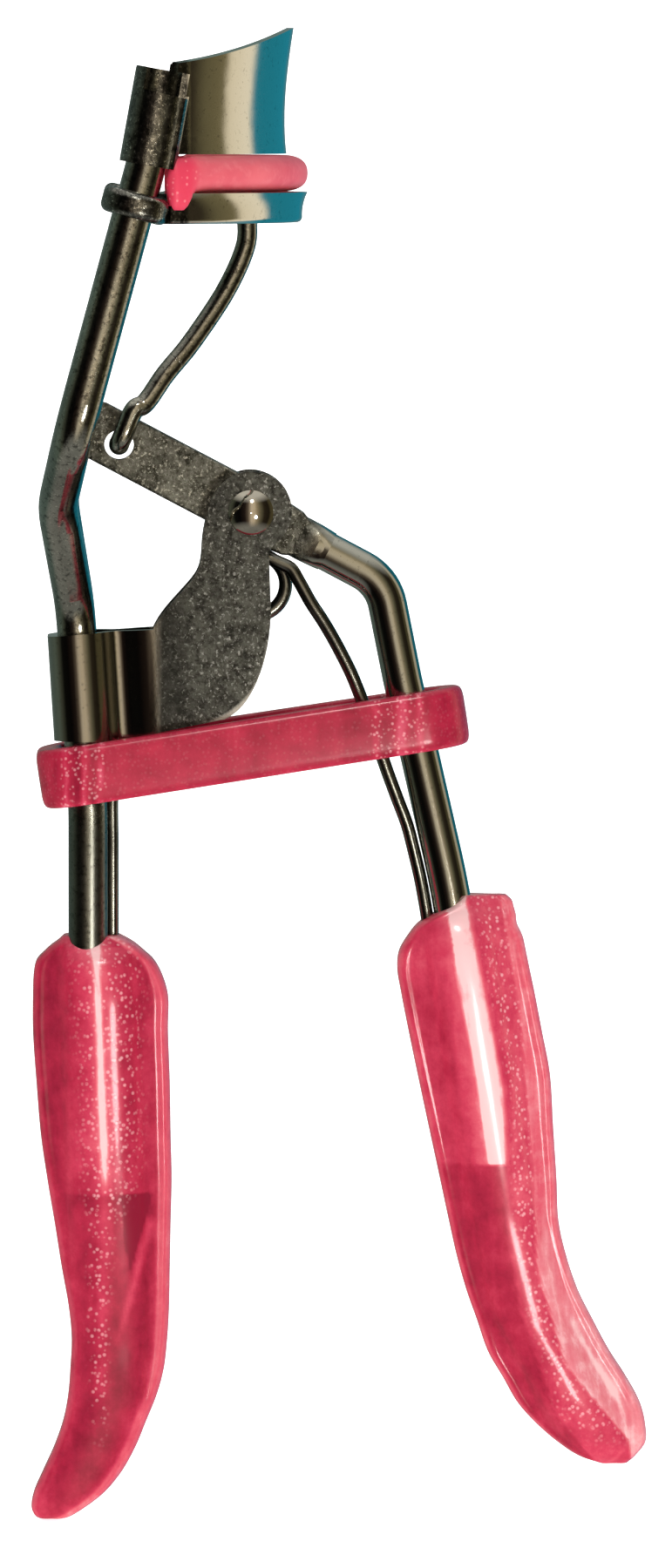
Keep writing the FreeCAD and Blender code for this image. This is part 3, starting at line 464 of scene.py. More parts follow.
def clear_moulding(name, stops, transmission, bubble_scale, rough, coat):
    """Tinted clear moulding: 'tone', which carries painted highlights and shade as well as the colour's
    depth, picks its colour from the stops, 'speck' sets its bubbles.
    """
    m = Material(name)
    tone = m.attribute("tone")
    clouds = m.noise(scale=460, detail=5, rough=0.72)
    clouds = m.times(m.minus(clouds, 0.5), 0.85)
    # stretched along z
    streaks = m.noise(scale=900, detail=3, rough=0.6, stretch=(1, 1, 0.08))
    streaks = m.times(m.minus(streaks, 0.5), 0.36)
    # pale parts are less clouded
    calm = m.inverse(m.times(m.step(tone, start=0.55, end=0.85), 0.6))
    depth = m.math("ADD", m.add(tone, m.times(clouds, calm)), streaks, clamp=True)
    bubbles = m.fall(m.voronoi(bubble_scale), start=0.20, end=0.42)
    scatter = m.rise(m.noise(scale=1500, detail=3, rough=0.7), start=0.34, end=0.52)
    spots = m.times(m.times(bubbles, scatter), m.attribute("speck"))
    colour = m.mix(m.times(spots, 0.75), m.ramp(depth, stops), srgb(250, 186, 190))
    wear = m.noise(scale=1200, detail=3, rough=0.6)
    waves = m.noise(scale=600, detail=3, rough=0.6)
    height = m.add(m.times(spots, 0.8), m.times(waves, 0.25))
    return m.finish({
        "Base Color": colour,
        "Roughness": m.add(m.times(wear, 0.12), rough),
        "Transmission Weight": transmission,
        "IOR": 1.46,
        "Subsurface Weight": 0.12,
        "Subsurface Radius": (0.003, 0.0008, 0.0008),
        "Subsurface Scale": 0.4,
        "Specular IOR Level": 0.28,
        "Coat Weight": coat,
        "Coat Roughness": 0.06,
        "Normal": m.bump(height, strength=0.25, distance=0.00006)})


# (tone, colour), from deep to pale
GRIP_PINKS = [
    (0.0, srgb(140, 20, 48)), (0.25, srgb(176, 34, 64)), (0.5, srgb(202, 56, 84)),
    (0.75, srgb(220, 88, 106)), (0.9, srgb(232, 138, 146)), (1.0, srgb(246, 196, 196))]
BAND_PINKS = [
    (0.0, srgb(138, 12, 42)), (0.40, srgb(182, 34, 64)), (0.7, srgb(206, 70, 96)),
    (1.0, srgb(244, 172, 180))]

PAD = pad_silicone()
GRIP = clear_moulding("grip_plastic", GRIP_PINKS, transmission=0.06, bubble_scale=2600,
                      rough=0.16, coat=0.22)
BAND = clear_moulding("band_silicone", BAND_PINKS, transmission=0.08, bubble_scale=3200,
                      rough=0.18, coat=0.16)

# ---------------------------------------------------------------- CAD metal pieces
METAL_PIECES = {
    "frame_rod_near": NICKEL, "frame_rod_far": NICKEL, "upper_jaw_plate": JAW,
    "lower_jaw_channel": JAW, "link_wire": NICKEL, "lever_arm": LEVER, "pivot_rivet": RIVET,
    "pivot_washer_near": SPRING, "pivot_washer_far": SPRING, "pivot_bracket": EAR}
for piece, metal in METAL_PIECES.items():
    piece_mesh = frame["nodes"][piece].data
    piece_mesh.materials.clear()
    piece_mesh.materials.append(metal)
    shade_smooth(piece_mesh)

# -------------------------------------------------------------------------- grips
# outline stations, downwards: z, left edge x, right edge x, share of the full thickness
FRAME_ROWS = [
    (-30.31, -13.35, -9.30, 0.50), (-30.69, -13.76, -8.59, 0.62), (-31.00, -14.20, -8.12, 0.71),
    (-31.44, -14.69, -7.60, 0.79), (-32.12, -15.30, -6.88, 0.90), (-33.06, -15.50, -6.35, 0.96),
    (-34.62, -15.56, -5.88, 1.00), (-37.12, -15.56, -5.88, 1.00), (-40.88, -15.31, -5.75, 0.99),
    (-44.62, -15.00, -5.69, 0.97), (-47.75, -14.55, -5.62, 0.94), (-50.88, -14.03, -5.69, 0.89),
    (-54.00, -13.54, -5.75, 0.85), (-57.12, -13.00, -5.81, 0.80), (-59.31, -12.81, -5.94, 0.77),
    (-61.50, -12.91, -6.19, 0.76), (-63.38, -13.06, -6.70, 0.73), (-65.25, -13.41, -7.45, 0.70),
    (-67.12, -14.05, -8.22, 0.68), (-69.00, -14.90, -9.28, 0.67), (-70.38, -15.50, -10.46, 0.61),
    (-71.50, -15.69, -11.91, 0.49), (-72.12, -15.39, -12.91, 0.36), (-72.31, -15.06, -13.44, 0.20),
]
LEVER_ROWS = [
    (-27.44, 15.33, 18.29, 0.41), (-27.81, 14.94, 18.70, 0.50), (-28.25, 14.30, 18.83, 0.57),
    (-28.81, 13.11, 18.99, 0.69), (-29.50, 12.00, 19.08, 0.80), (-30.38, 11.27, 19.48, 0.89),
    (-31.50, 10.64, 19.73, 0.96), (-32.75, 10.51, 19.99, 0.99), (-34.62, 10.81, 20.38, 1.00),
    (-37.12, 11.30, 20.86, 1.00), (-40.25, 11.95, 21.45, 0.99), (-44.00, 12.75, 21.69, 0.95),
    (-47.75, 13.56, 21.94, 0.91), (-50.88, 14.23, 22.10, 0.86), (-53.38, 14.79, 22.66, 0.86),
    (-55.88, 15.49, 23.51, 0.88), (-58.06, 16.26, 24.59, 0.90), (-60.25, 17.02, 25.76, 0.93),
    (-62.12, 18.10, 26.96, 0.94), (-64.00, 19.19, 27.98, 0.94), (-65.56, 20.60, 28.36, 0.85),
    (-66.81, 22.06, 28.38, 0.73), (-67.75, 23.51, 27.70, 0.54), (-68.31, 25.02, 27.08, 0.32),
]
# lines down each grip, as (z, x): the middle of the round barrel, then lines in the colour
FRAME_BARREL = [(-30.0, -10.95), (-47.0, -10.45), (-56.0, -10.1), (-64.0, -10.3), (-72.4, -13.6)]
FRAME_SHEEN = [(-31.0, -11.06), (-47.4, -10.4), (-64.0, -10.6)]
FRAME_SLANT = [(-50.5, -7.1), (-59.0, -9.4)]
FRAME_BUBBLES = [(-30, -10.2), (-47, -9.9), (-52, -10.7), (-58, -10.9), (-66, -10.8)]
FRAME_BUBBLE_WIDTH = [(-30, 2.3), (-47, 1.9), (-52, 0.9), (-66, 0.55)]  # (z, width)
LEVER_BARREL = [(-27.4, 14.3), (-30.0, 14.75), (-44.0, 17.0), (-50.0, 17.9), (-58.0, 20.0),
                (-68.4, 25.6)]
LEVER_STRIPE = [(-27.0, 15.9), (-41.5, 18.7), (-50.9, 18.9), (-57.1, 19.9), (-64.6, 22.5),
                (-68.4, 25.6)]
LEVER_WING = [(-27.0, 17.7), (-36.0, 19.2), (-47.1, 20.1), (-54.0, 20.4), (-60.9, 22.4),
              (-66.5, 27.0), (-68.4, 27.3)]
LEVER_SHEEN = [(-27.4, 13.95), (-29.0, 14.06), (-43.1, 16.44), (-47.0, 17.0)]

FRAME_ROD_END, LEVER_ROD_END = -48.7, -46.6  # z where the rods stop inside the grips
# a dark wedge below the frame rods' ends, as anticlockwise (x, z) corners
FRAME_WEDGE = ((-9.3, FRAME_ROD_END), (-8.65, -54.4), (-7.1, FRAME_ROD_END))
FAR_SPECK = 0.4  # share of the bubbles that shows on the far side

GRIP_SEGMENTS, GRIP_STEP = 112, 0.28
GRIP_DEPTH = 3.85  # half thickness at the barrel
BEAD_HEIGHT, BEAD_INSET, BEAD_WIDTH = 0.32, 0.42, 0.30
# the barrel's flank runs out into the wing from this share of its half width
FLANK_START, FLANK_HEIGHT, FLANK_WIDTH = 0.8, 0.35, 0.35


def inside(x, z, triangle, soft=0.10):
    """1 inside an anticlockwise triangle, 0 outside, with a soft edge."""
    distances = [((bx - ax) * (z - az) - (bz - az) * (x - ax)) / math.hypot(bx - ax, bz - az)
                 for (ax, az), (bx, bz) in zip(triangle, triangle[1:] + triangle[:1])]
    return ease(min(distances), -soft, soft)


def paint_frame(x, z, left, right, side):
    """Tone and speck at a point of the frame grip, between its left and right edges."""
    from_left, from_right = x - left, right - x
    above = ease(z, -49.5, -46.5)
    below_rods = 1 - ease(z, FRAME_ROD_END - 0.10, FRAME_ROD_END + 0.10)
    tone = 0.29
    # painted shade on the left facet: deeper upper left
    tone -= 0.20 * (1 - ease(x, -13.9, -12.2)) * ease(z, -52, -40)
    # sheen: a broad and a sharp line above, one line below
    sheen = table_at(FRAME_SHEEN, z)
    tone += (0.40 * peak(x, sheen, 1.15) + 0.42 * peak(x, sheen, 0.30)) * above
    tone += 0.22 * peak(x, sheen, 0.55) * (1 - above) * ease(z, -66.0, -60.0)
    # painted: the rods' reflection seen through the plastic stops at their ends, so the colour deepens below
    # them, with a clean edge
    tone -= 0.12 * below_rods * ease(from_left, 0.6, 1.4) * ease(from_right, 1.0, 1.6)
    tone -= 0.32 * inside(x, z, FRAME_WEDGE) * below_rods
    # a short dark streak in the upper right
    tone -= 0.10 * peak(x, -8.35, 0.55) * ease(z, -46.0, -42.0) * (1 - ease(z, -35.0, -32.5))
    # a pale line slanting down to the left
    slant = peak(x, table_at(FRAME_SLANT, z), 0.30)
    tone += 0.34 * slant * (1 - ease(z, -51.0, -50.0)) * ease(z, -60.5, -58.0)
    # deeper towards the foot, inside the rims
    foot = 1 - ease(z, -62.0, -55.0)
    tone -= 0.05 * foot * ease(from_right, 1.2, 2.4) * ease(from_left, 0.5, 1.2)
    # pale right and left rims, then pale lower and upper ends
    tone += 0.38 * (1 - ease(from_right, 0.75, 1.15)) + 0.16 * (1 - ease(from_left, 0.25, 0.5))
    tone += 0.16 * (1 - ease(z, -72.0, -68.5)) + 0.12 * ease(z, -32.2, -30.6)
    speck = peak(x, table_at(FRAME_BUBBLES, z), table_at(FRAME_BUBBLE_WIDTH, z), power=4)
    speck *= ease(z, -68.0, -62.0)
    if side > 0:
        speck *= FAR_SPECK
    return tone, speck * (0.8 if z > -49 else 0.65)


def paint_lever(x, z, left, right, side):
    """Tone and speck at a point of the lever grip, between its left and right edges."""
    from_left, from_right = x - left, right - x
    sheen, stripe, wing = (table_at(t, z) for t in (LEVER_SHEEN, LEVER_STRIPE, LEVER_WING))
    over_rod = ease(z, LEVER_ROD_END - 0.10, LEVER_ROD_END + 0.10)
    left_of_stripe = 1 - ease(x, stripe - 0.9, stripe - 0.3)
    tone = 0.46
    # over the rod: painted shade on the deep left facet at the top
    shaded_facet = (1 - ease(x, sheen - 1.6, sheen - 0.9)) * ease(from_left, 0.5, 1.2)
    tone -= 0.10 * shaded_facet * (1 - ease(z, -36.0, -33.0)) * over_rod
    # then the sheen, a painted highlight: a pale strip up to the stripe, with a soft and a sharp left edge
    tone += 0.26 * ease(x, sheen - 1.5, sheen + 0.2) * left_of_stripe * over_rod
    tone += 0.32 * ease(x, sheen - 0.12, sheen + 0.12) * left_of_stripe * over_rod
    # a painted reflection: a pale patch just above the rod's end
    rod_end_reflection = ease(x, 16.3, 16.6) * (1 - ease(x, 18.9, 19.2))
    tone += 0.08 * rod_end_reflection * ease(z, -46.6, -46.3) * (1 - ease(z, -43.2, -41.8))
    # painted shade on the left facet: deep left of the stripe below the rod
    deep = (1 - over_rod) * (1 - ease(x, stripe - 0.75, stripe - 0.55))
    tone -= 0.22 * deep * ease(from_left, 0.20, 0.45)
    # the pale wing, paler low down, and the pale left rim
    wing_tone = 0.30 + 0.12 * (1 - ease(z, -56.0, -48.0))
    tone += wing_tone * ease(x, wing - 0.10, wing + 0.15)
    tone += 0.14 * (1 - ease(from_left, 0.20, 0.45))
    # a pale line inside the lower right rim
    tone += 0.14 * peak(from_right, 1.5, 0.22) * (1 - ease(z, -60.0, -56.0))
    # bubbles between stripe and wing
    speck = peak(x, (stripe + wing) / 2, max(0.35, (wing - stripe) / 1.7), power=4)
    speck *= ease(z, -67.5, -64.0)
    tone += 0.14 * speck
    if side > 0:
        speck *= FAR_SPECK
    return tone, speck * 0.85


def grip_thickness(x, centre, half_width, barrel_x, barrel_half, wing, share):
    """Half thickness: a round barrel, thinner wings and a bead just inside the rim."""
    across = (x - centre) / half_width
    inset = (1 - abs(across)) * half_width
    t = abs(x - barrel_x) / barrel_half
    hump = math.sqrt(max(0.0, 1 - t * t))
    if t > FLANK_START:
        hump = max(hump, FLANK_HEIGHT * peak(t, FLANK_START, FLANK_WIDTH))
    bead = BEAD_HEIGHT * peak(inset, BEAD_INSET, BEAD_WIDTH)
    thickness = share * (wing + (GRIP_DEPTH - wing) * hump + bead)
    rounding = max(0.0, 1 - abs(across) ** 5) ** (1 / 5.0)
    return min(thickness, GRIP_DEPTH), rounding


def moulded_grip(name, rows, barrel, barrel_half, wing, paint):
    """A grip moulded over a rod; wing is the half thickness of its wings."""
    stations = smooth_curve([(left, right, z, share) for z, left, right, share in rows], GRIP_STEP)
    rings, tone, speck = [], [], []
    for left, right, z, share in stations:
        half_width, centre = (right - left) / 2, (right + left) / 2
        barrel_x = table_at(barrel, z)
        ring = []
        for j in range(GRIP_SEGMENTS):
            angle = 2 * math.pi * j / GRIP_SEGMENTS
            across = -math.cos(angle)
            side = -1.0 if angle < math.pi else 1.0
            x = centre + half_width * across
            thickness, _ = grip_thickness(x, centre, half_width, barrel_x, barrel_half, wing,
                                          share)
            rounding = (1 - abs(across) ** 5) ** (1 / 5.0)
            ring.append((x, side * thickness * rounding, z))
            vertex_tone, vertex_speck = paint(x, z, left, right, side)
            tone.append(vertex_tone)
            speck.append(vertex_speck)
        rings.append(ring)
    ob = loft(name, rings)
    for ring in (rings[0], rings[-1]):
        x, _, z = ring[0]
        tone.append(paint(x, z, x - 1, x + 1, -1)[0])
        speck.append(0.0)
    store(ob, tone, speck)
    ob.data.materials.append(GRIP)
    return ob


for part, rows, barrel, barrel_half, wing, paint in (
        ("frame", FRAME_ROWS, FRAME_BARREL, 2.9, 2.15, paint_frame),
        ("lever", LEVER_ROWS, LEVER_BARREL, 2.6, 2.1, paint_lever)):
    grip = moulded_grip(f"{part}_grip_moulding", rows, barrel, barrel_half, wing, paint)
    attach(grip, part)
    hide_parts(f"{part}_grip")

# ------------------------------------------------------------------ return spring
WIRE_RADIUS, WIRE_SEGMENTS, WIRE_STEP = 0.47, 20, 0.3
COIL_X, COIL_Z, COIL_RADIUS, COIL_PITCH = 0.31, -5.25, 2.2, 0.96
COIL_START, COIL_END = math.radians(62), math.radians(137) + 4 * math.pi
COIL_STEPS = 110
LEVER_ROD_LINE = [(-12.0, 10.85), (-26.6, 14.2), (-46.4, 17.4)]  # (z, x)
# the right leg's foot lies on the lever rod: z, the rod's lean there in degrees
RIGHT_FOOT = [(-31.0, 9.2), (-29.5, 9.2), (-28.06, 9.6), (-26.2, 12.9)]
FOOT_GAP = 0.05
# the rest of the right leg up to the coil: x, z
RIGHT_LEG = [
    (11.69, -24.3), (11.19, -22.4), (10.5, -20.56), (9.81, -18.7), (8.94, -16.2), (7.67, -12.75),
    (7.15, -11.5), (6.53, -10.25), (5.86, -9.0), (5.12, -7.75), (4.30, -6.5), (3.42, -4.93),
    (2.86, -4.04), (2.13, -3.67)]
RIGHT_LEG_SHIFT_POINTS = 11  # points over which it moves out to the coil's near end
# the left leg, down from the coil: x, y, z
LEFT_LEG = [
    (-4.4, 0.75, -8.3), (-7.6, 0.4, -13.0), (-9.35, 0.1, -16.3), (-9.85, 0.0, -19.5),
    (-9.88, 0.0, -24.0), (-9.88, 0.0, -28.0), (-9.88, 0.0, -32.0), (-9.88, 0.0, -36.0)]
CAP_ANGLES = [math.pi / 6, math.pi / 3, math.pi / 2]
CAP_LENGTH, CAP_TAPER = 0.35, 0.55  # shares of the wire radius
LEG_BEND = 9.0  # mm of leg beside the coil that takes up the lever's swing


def spring_path():
    """Points from the foot of the right leg to that of the left, and the index of the coil."""
    sweep = COIL_END - COIL_START
    width = COIL_PITCH * sweep / (2 * math.pi)
    coil = []
    for i in range(COIL_STEPS + 1):
        angle = COIL_START + sweep * i / COIL_STEPS
        coil.append((COIL_X + COIL_RADIUS * math.cos(angle), width * (i / COIL_STEPS - 0.5),
                     COIL_Z + COIL_RADIUS * math.sin(angle)))
    offset = ROD_RADIUS + WIRE_RADIUS + FOOT_GAP
    right = [(table_at(LEVER_ROD_LINE, z) - offset / math.cos(math.radians(lean)), 0.0, z)
             for z, lean in RIGHT_FOOT]
    right += [(x, -width / 2 * min(1.0, (i + 1) / RIGHT_LEG_SHIFT_POINTS), z)
              for i, (x, z) in enumerate(RIGHT_LEG)]
    right = smooth_curve(right + [coil[0]], WIRE_STEP)
    left = smooth_curve([coil[-1]] + LEFT_LEG, WIRE_STEP)
    return right[:-1] + [np.array(p) for p in coil] + left[1:], len(right) - 1


def wire_rings(path):
    """Rings of a round wire along the path, without twist, its ends rounded over."""
    last = len(path) - 1
    tangents = [unit(path[min(i + 1, last)] - path[max(i - 1, 0)]) for i in range(last + 1)]
    u = unit(np.cross(tangents[0], (0.0, 1.0, 0.0)))
    previous = tangents[0]
    stations = []
    for centre, tangent in zip(path, tangents):
        axis = np.cross(previous, tangent)
        sine = np.linalg.norm(axis)
        if sine > 1e-9:
            axis /= sine
            turn = math.asin(min(1.0, sine))
            u = (u * math.cos(turn) + np.cross(axis, u) * math.sin(turn)
                 + axis * (axis @ u) * (1 - math.cos(turn)))
        u = unit(u - tangent * (u @ tangent))
        stations.append((centre, u, np.cross(tangent, u), WIRE_RADIUS))
        previous = tangent

    def cap(station, outward):
        centre, u, v, radius = station
        return [(centre + outward * (radius * CAP_LENGTH) * math.sin(angle), u, v,
                 radius * (1 - CAP_TAPER * (1 - math.cos(angle)))) for angle in CAP_ANGLES]

    head = cap(stations[0], -tangents[0])[::-1]
    tail = cap(stations[-1], tangents[-1])
    angles = [2 * math.pi * k / WIRE_SEGMENTS for k in range(WIRE_SEGMENTS)]
    return [[centre + u * (radius * math.cos(a)) + v * (radius * math.sin(a)) for a in angles]
            for centre, u, v, radius in head + stations + tail]


path, coil_index = spring_path()
rings = wire_rings(path)
spring = loft("return_spring_wire", rings)
spring.data.materials.append(SPRING)
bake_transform(spring, "frame", "lever", place(0, 0, 0), place(10, 0, 0))
# the coil and the left leg stay with the frame; the right leg swings with the lever
line = np.array([list(place(*p)) for p in path])
run = np.concatenate([[0], np.cumsum(np.linalg.norm(np.diff(line, axis=0), axis=1))]) / MM
ring_points = np.clip(np.arange(len(rings)) - len(CAP_ANGLES), 0, len(path) - 1)
vertex_points = np.append(np.repeat(ring_points, WIRE_SEGMENTS), [0, len(path) - 1])
weights = [ease(d, 0.0, LEG_BEND) for d in run[coil_index] - run[vertex_points]]
spring.data.attributes.get("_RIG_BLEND").data.foreach_set(
    "value", np.array(weights, dtype=np.float32))
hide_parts("return_spring")

# ------------------------------------------------------------------- closure band
BAND_WALL, BAND_HEIGHT = 1.92, 4.25
BAND_TILT = math.radians(8.7)
BAND_LEFT_X, BAND_LEFT_Z = -11.7, -18.6  # axis of its left end, round the frame rods
BAND_RIGHT_X = 12.05
FRAME_ROD_Y = 1.405  # the two frame rods stand this far either side of y = 0
BAND_INNER = ROD_RADIUS + 0.10
END_STEPS, SIDE_STEPS, LEFT_STEPS, SECTION_POINTS = 34, 60, 8, 28
WALL_POWER, HEIGHT_POWER = 0.42, 0.36  # superellipse exponents of the section
# painted reflections of the rods seen through the band, as pale and dark streaks across it: x, width, change
# of tone
BAND_ROD_REFLECTIONS = [
    (-13.15, 0.16, 0.38), (-12.3, 0.24, -0.22), (-11.85, 0.20, 0.44), (-11.2, 0.14, -0.24),
    (-10.7, 0.16, 0.40), (8.9, 0.16, 0.22), (9.6, 0.45, -0.22), (10.7, 0.42, 0.36),
    (11.5, 0.14, -0.16), (12.0, 0.18, 0.36), (7.3, 0.6, -0.12)]


def band_path():
    """The band's loop in its own plane: (centre point, outward direction) at each ring."""
    length = (BAND_RIGHT_X - BAND_LEFT_X) / math.cos(BAND_TILT)
    slope = math.atan2(FRAME_ROD_Y, length)
    right, far, near = (length, 0.0), (0.0, FRAME_ROD_Y), (0.0, -FRAME_ROD_Y)
    quarter = math.pi / 2

    def arc(centre, start, sweep, steps):
        angles = [start + sweep * k / steps for k in range(steps + 1)]
        return [(centre, (math.cos(a), math.sin(a))) for a in angles]

    def straight(start, end, outward, steps):
        return [(tuple(a + (b - a) * k / steps for a, b in zip(start, end)), outward)
                for k in range(1, steps)]

    return (arc(right, slope - quarter, math.pi - 2 * slope, END_STEPS)
            + straight(right, far, (math.sin(slope), math.cos(slope)), SIDE_STEPS)
            + arc(far, quarter - slope, quarter + slope, END_STEPS // 2)
            + straight(far, near, (-1.0, 0.0), LEFT_STEPS)
            + arc(near, math.pi, quarter + slope, END_STEPS // 2)
            + straight(near, right, (math.sin(slope), -math.cos(slope)), SIDE_STEPS))


def band_tone(x, up):
    """Deeper at both ends, streaked with painted reflections of the rods, and pale at the upper and lower
    edges (up is -1 to 1).
    """
    tone = 0.27 - 0.14 * (1 - ease(x, -14.0, -13.4)) - 0.10 * ease(x, 13.0, 13.6)
    tone += sum(change * peak(x, centre, width) for centre, width, change in BAND_ROD_REFLECTIONS)
    return tone + 0.16 * max(0.0, abs(up) - 0.86) / 0.14


def closure_band():
    """A band round both rod sets, of rounded rectangular section."""
    section = []
    for k in range(SECTION_POINTS):
        angle = 2 * math.pi * k / SECTION_POINTS
        section.append((signed_power(math.cos(angle), WALL_POWER),
                        signed_power(math.sin(angle), HEIGHT_POWER)))
    cos_tilt, sin_tilt = math.cos(BAND_TILT), math.sin(BAND_TILT)
    rings, tone, speck = [], [], []
    for (px, py), (out_x, out_y) in band_path():
        ring = []
        for out, up in section:
            offset = BAND_INNER + BAND_WALL / 2 + out * BAND_WALL / 2
            along, y, rise = px + out_x * offset, py + out_y * offset, up * BAND_HEIGHT / 2
            x = BAND_LEFT_X + along * cos_tilt - rise * sin_tilt
            ring.append((x, y, BAND_LEFT_Z + along * sin_tilt + rise * cos_tilt))
            tone.append(band_tone(x, up))
            # bubbles gather over the rods
            speck.append(0.55 if -13.4 < x < -10.5 or 8.5 < x < 12.3 else 0.06)
        rings.append(ring)
    ob = loft("closure_band_moulding", rings, closed=True)
    store(ob, tone, speck)
    ob.data.materials.append(BAND)
    return ob


band = closure_band()
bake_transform(band, "frame", "lever", place(-9.5, 0, BAND_LEFT_Z), place(10.0, 0, -15.6))
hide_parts("closure_band")

# ----------------------------------------------------------------------- lash pad
PAD_ARC_RADIUS, PAD_FRONT_X = 16.1, 2.3  # the arc bows to the right, towards +x
PAD_END, PAD_CAP = 63.5, 1.9  # degrees from the middle to an end, and of rounding there
PAD_STEPS, PAD_SEGMENTS = 150, 36
PAD_LEAST = 0.12  # share of the section left at the very end


def lash_pad():
    """A strap along the jaw's arc, its ends swelling inwards and down into beads."""
    centre_x = PAD_FRONT_X - PAD_ARC_RADIUS
    rings, tone = [], []
    for i in range(PAD_STEPS + 1):
        angle = (-1 + 2 * i / PAD_STEPS) * math.radians(PAD_END)
        degrees = abs(math.degrees(angle))
        bulb = ease(degrees, 55.5, 59.5)
        past = max(0.0, degrees - (PAD_END - PAD_CAP)) / PAD_CAP
        closing = max(PAD_LEAST, math.sqrt(max(0.0, 1 - past ** 2)))
        inner = -1.74 + 2.35 * ease(degrees, 50.0, 59.0)
        outer = 1.76 + 0.20 * bulb
        top = 25.38 - 0.15 * bulb
        foot = 22.80 - 1.25 * bulb
        half_wide, half_high = (outer - inner) / 2 * closing, (top - foot) / 2 * closing
        power = 0.55 + 0.30 * bulb
        ring = []
        for k in range(PAD_SEGMENTS):
            turn = 2 * math.pi * k / PAD_SEGMENTS
            out, up = math.cos(turn), math.sin(turn)
            # squarer on the inner side of the arc, rounder on the outer side
            out_power = power if out < 0 else max(power, 0.9)
            up_power = power if out < 0 else max(power, 0.8)
            radius = (PAD_ARC_RADIUS + (inner + outer) / 2
                      + half_wide * signed_power(out, out_power))
            z = (top + foot) / 2 + half_high * signed_power(up, up_power)
            ring.append((centre_x + radius * math.cos(angle), radius * math.sin(angle), z))
        rings.append(ring)
        tone += [ease(degrees, 54.0, 58.5)] * PAD_SEGMENTS
    ob = loft("lash_pad_strap", rings)
    store(ob, tone + [1.0, 1.0])
    ob.data.materials.append(PAD)
    return ob


pad = lash_pad()
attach(pad, "lower_jaw")
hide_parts("lash_pad")


# -------------------------------------------------------------------------- stage
def studio_floor():
    """A white floor that curves up into a wall behind; metres."""
    half, floor_z, bend, bend_steps = 4.0, -0.0002, 0.5, 12
    profile = [(-half, floor_z)]
    for k in range(bend_steps + 1):
        angle = math.pi / 2 * k / bend_steps
        profile.append((half - bend + bend * math.sin(angle),
                        floor_z + bend - bend * math.cos(angle)))
    profile.append((half, half))
    verts = [(x, y, z) for y, z in profile for x in (-half, half)]
    faces = [(2 * i, 2 * i + 1, 2 * i + 3, 2 * i + 2) for i in range(len(profile) - 1)]
    mesh = bpy.data.meshes.new("studio_floor")
    mesh.from_pydata(verts, [], faces)
    shade_smooth(mesh)
    ob = bpy.data.objects.new("studio_floor", mesh)
    bpy.context.scene.collection.objects.link(ob)
    m = Material("studio_white")
    clouds = m.noise(scale=3, detail=2, rough=0.5)
    mesh.materials.append(m.finish({
        "Base Color": m.mix(clouds, (0.93, 0.93, 0.93), (0.96, 0.96, 0.96)),
        "Roughness": 0.85,
        "Emission Color": (1, 1, 1),
        "Emission Strength": 0.8}))
    ob.visible_glossy = False


# the surroundings seen in reflections: degrees round from -y towards +x, sRGB colour
SURROUNDINGS = [
    (-180, (110, 125, 120)), (-128, (104, 120, 114)), (-100, (112, 126, 116)),
    (-80, (84, 88, 76)), (-64, (22, 22, 20)), (-42, (16, 14, 14)), (-22, (46, 36, 32)),
    (-10, (120, 106, 92)), (2, (255, 238, 214)), (14, (255, 236, 206)), (24, (190, 174, 144)),
    (38, (128, 122, 98)), (52, (60, 52, 40)), (72, (46, 40, 30)), (81, (98, 91, 66)),
    (93, (112, 103, 74)), (97.5, (226, 214, 188)), (114, (238, 228, 206)),
    (120, (32, 126, 148)), (160, (32, 130, 152)), (180, (104, 122, 118))]


def studio_world():
    """Plain white to the camera, grey to diffuse rays, the surroundings to all others."""
    world = bpy.data.worlds.new("studio")
    bpy.context.scene.world = world
    world.use_nodes = True
    world.node_tree.nodes.clear()
    w = Nodes(world.node_tree)

    def background(colour):
        return w.feed_all(w.node("ShaderNodeBackground"), {"Color": colour}).outputs[0]

    def choose(factor, a, b):
        return w.feed_all(w.node("ShaderNodeMixShader"), {0: factor, 1: a, 2: b}).outputs[0]

    parts = w.separate(w.node("ShaderNodeTexCoord").outputs["Generated"])
    azimuth = w.math("ARCTAN2", parts["X"], w.times(parts["Y"], -1))
    around = w.ramp(w.map_range(azimuth, -math.pi, math.pi),
                    [((degrees + 180) / 360.0, srgb(*c)) for degrees, c in SURROUNDINGS])
    # pale ground and overhead light, blended in by elevation
    vertical = w.ramp(w.map_range(parts["Z"], -1, 1),
                      [(0.0, (0.30, 0.30, 0.28)), (1.0, (1.0, 0.98, 0.93))])
    steep = w.map_range(w.math("ABSOLUTE", parts["Z"]), 0.55, 0.85)
    rays = w.node("ShaderNodeLightPath").outputs
    lit = choose(rays["Is Diffuse Ray"], background(w.mix(steep, around, vertical)),
                 background((0.76, 0.76, 0.76)))
    seen = choose(rays["Is Camera Ray"], lit, background((1, 1, 1)))
    w.feed(w.node("ShaderNodeOutputWorld").inputs["Surface"], seen)


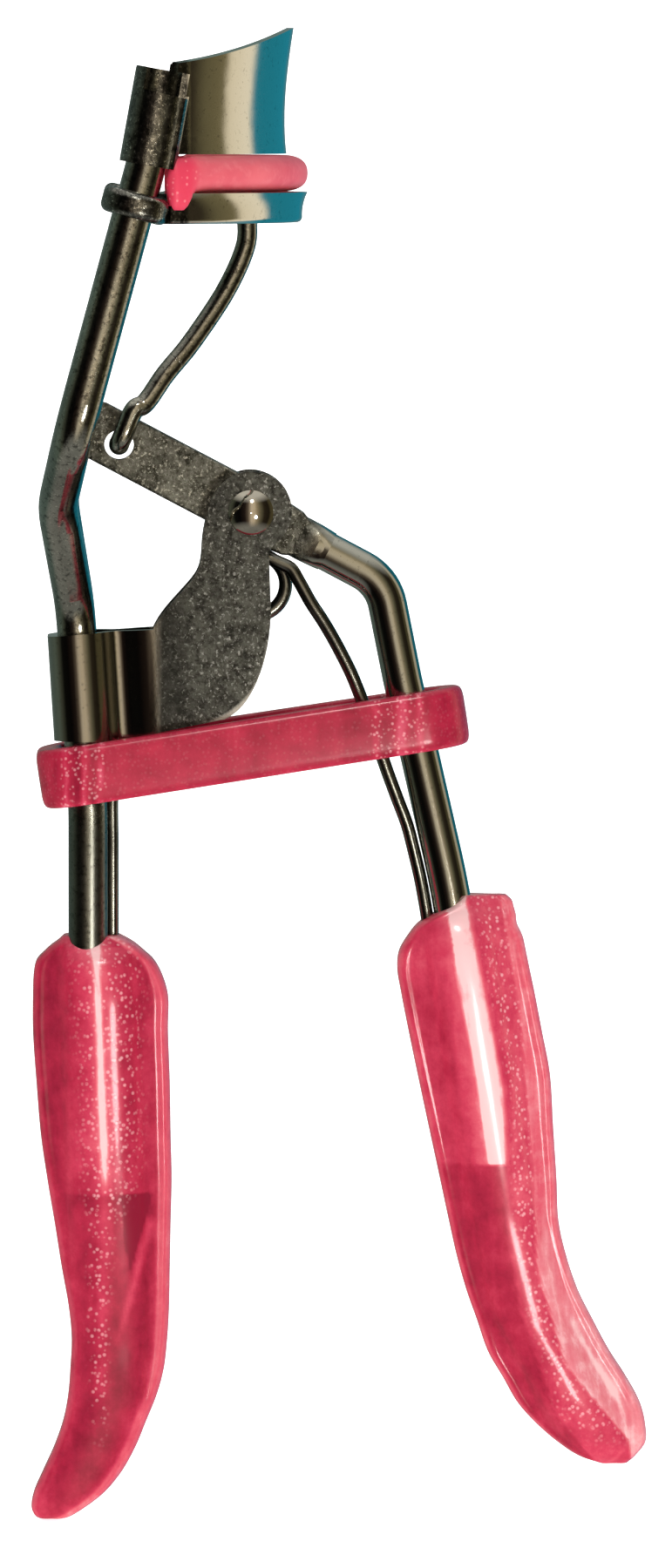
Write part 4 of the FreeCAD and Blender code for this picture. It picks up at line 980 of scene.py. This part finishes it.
def disk_light(name, location, target, size, power, colour, glossy=True, diffuse=True):
    light = bpy.data.lights.new(name, "AREA")
    light.shape = "DISK"
    light.size = size
    light.energy = power
    light.color = colour
    ob = bpy.data.objects.new(name, light)
    bpy.context.scene.collection.objects.link(ob)
    ob.location = location
    direction = Vector(target) - Vector(location)
    ob.rotation_euler = direction.to_track_quat("-Z", "Y").to_euler()
    ob.visible_camera = False
    ob.visible_glossy = glossy
    ob.visible_diffuse = diffuse


studio_floor()
studio_world()
disk_light("key", (-0.25, -0.45, 0.40), target=(0, 0, 0.05), size=0.30, power=0.45,
           colour=(1.0, 0.98, 0.95), glossy=False)
disk_light("fill", (0.45, -0.30, 0.20), target=(0, 0, 0.05), size=0.34, power=0.2,
           colour=(1.0, 0.97, 0.94), glossy=False)
disk_light("glint_high", (0.02, -0.30, 0.34), target=(0, 0, 0.07), size=0.07, power=0.40,
           colour=(1.0, 0.97, 0.92), diffuse=False)
disk_light("glint_low", (0.055, -0.17, 0.016), target=(0, 0, 0.07), size=0.034, power=0.09,
           colour=(1.0, 0.97, 0.92), diffuse=False)

# ------------------------------------------------------------------------- camera
EYE = (-9.0771, -707.01, 28.2692)  # design mm
YAW, PITCH, ROLL = 0.02149, -0.06748, 0.0010  # radians
LENS, SENSOR = 227.552, 36.0  # mm


def add_camera():
    data = bpy.data.cameras.new("camera")
    data.sensor_fit = "VERTICAL"
    data.sensor_height = data.sensor_width = SENSOR
    data.lens = LENS
    data.clip_start = 0.01
    ob = bpy.data.objects.new("camera", data)
    bpy.context.scene.collection.objects.link(ob)
    look = Vector((math.sin(YAW) * math.cos(PITCH), math.cos(YAW) * math.cos(PITCH),
                   math.sin(PITCH)))
    level = look.cross(Vector((0, 0, 1))).normalized()
    upright = level.cross(look)
    right = math.cos(ROLL) * level + math.sin(ROLL) * upright
    up = math.cos(ROLL) * upright - math.sin(ROLL) * level
    turn = Matrix((right, up, -look)).transposed().to_4x4()
    ob.matrix_world = Matrix.Translation(place(*EYE)) @ turn
    bpy.context.scene.camera = ob


add_camera()
bpy.context.scene.view_settings.view_transform = "Standard"
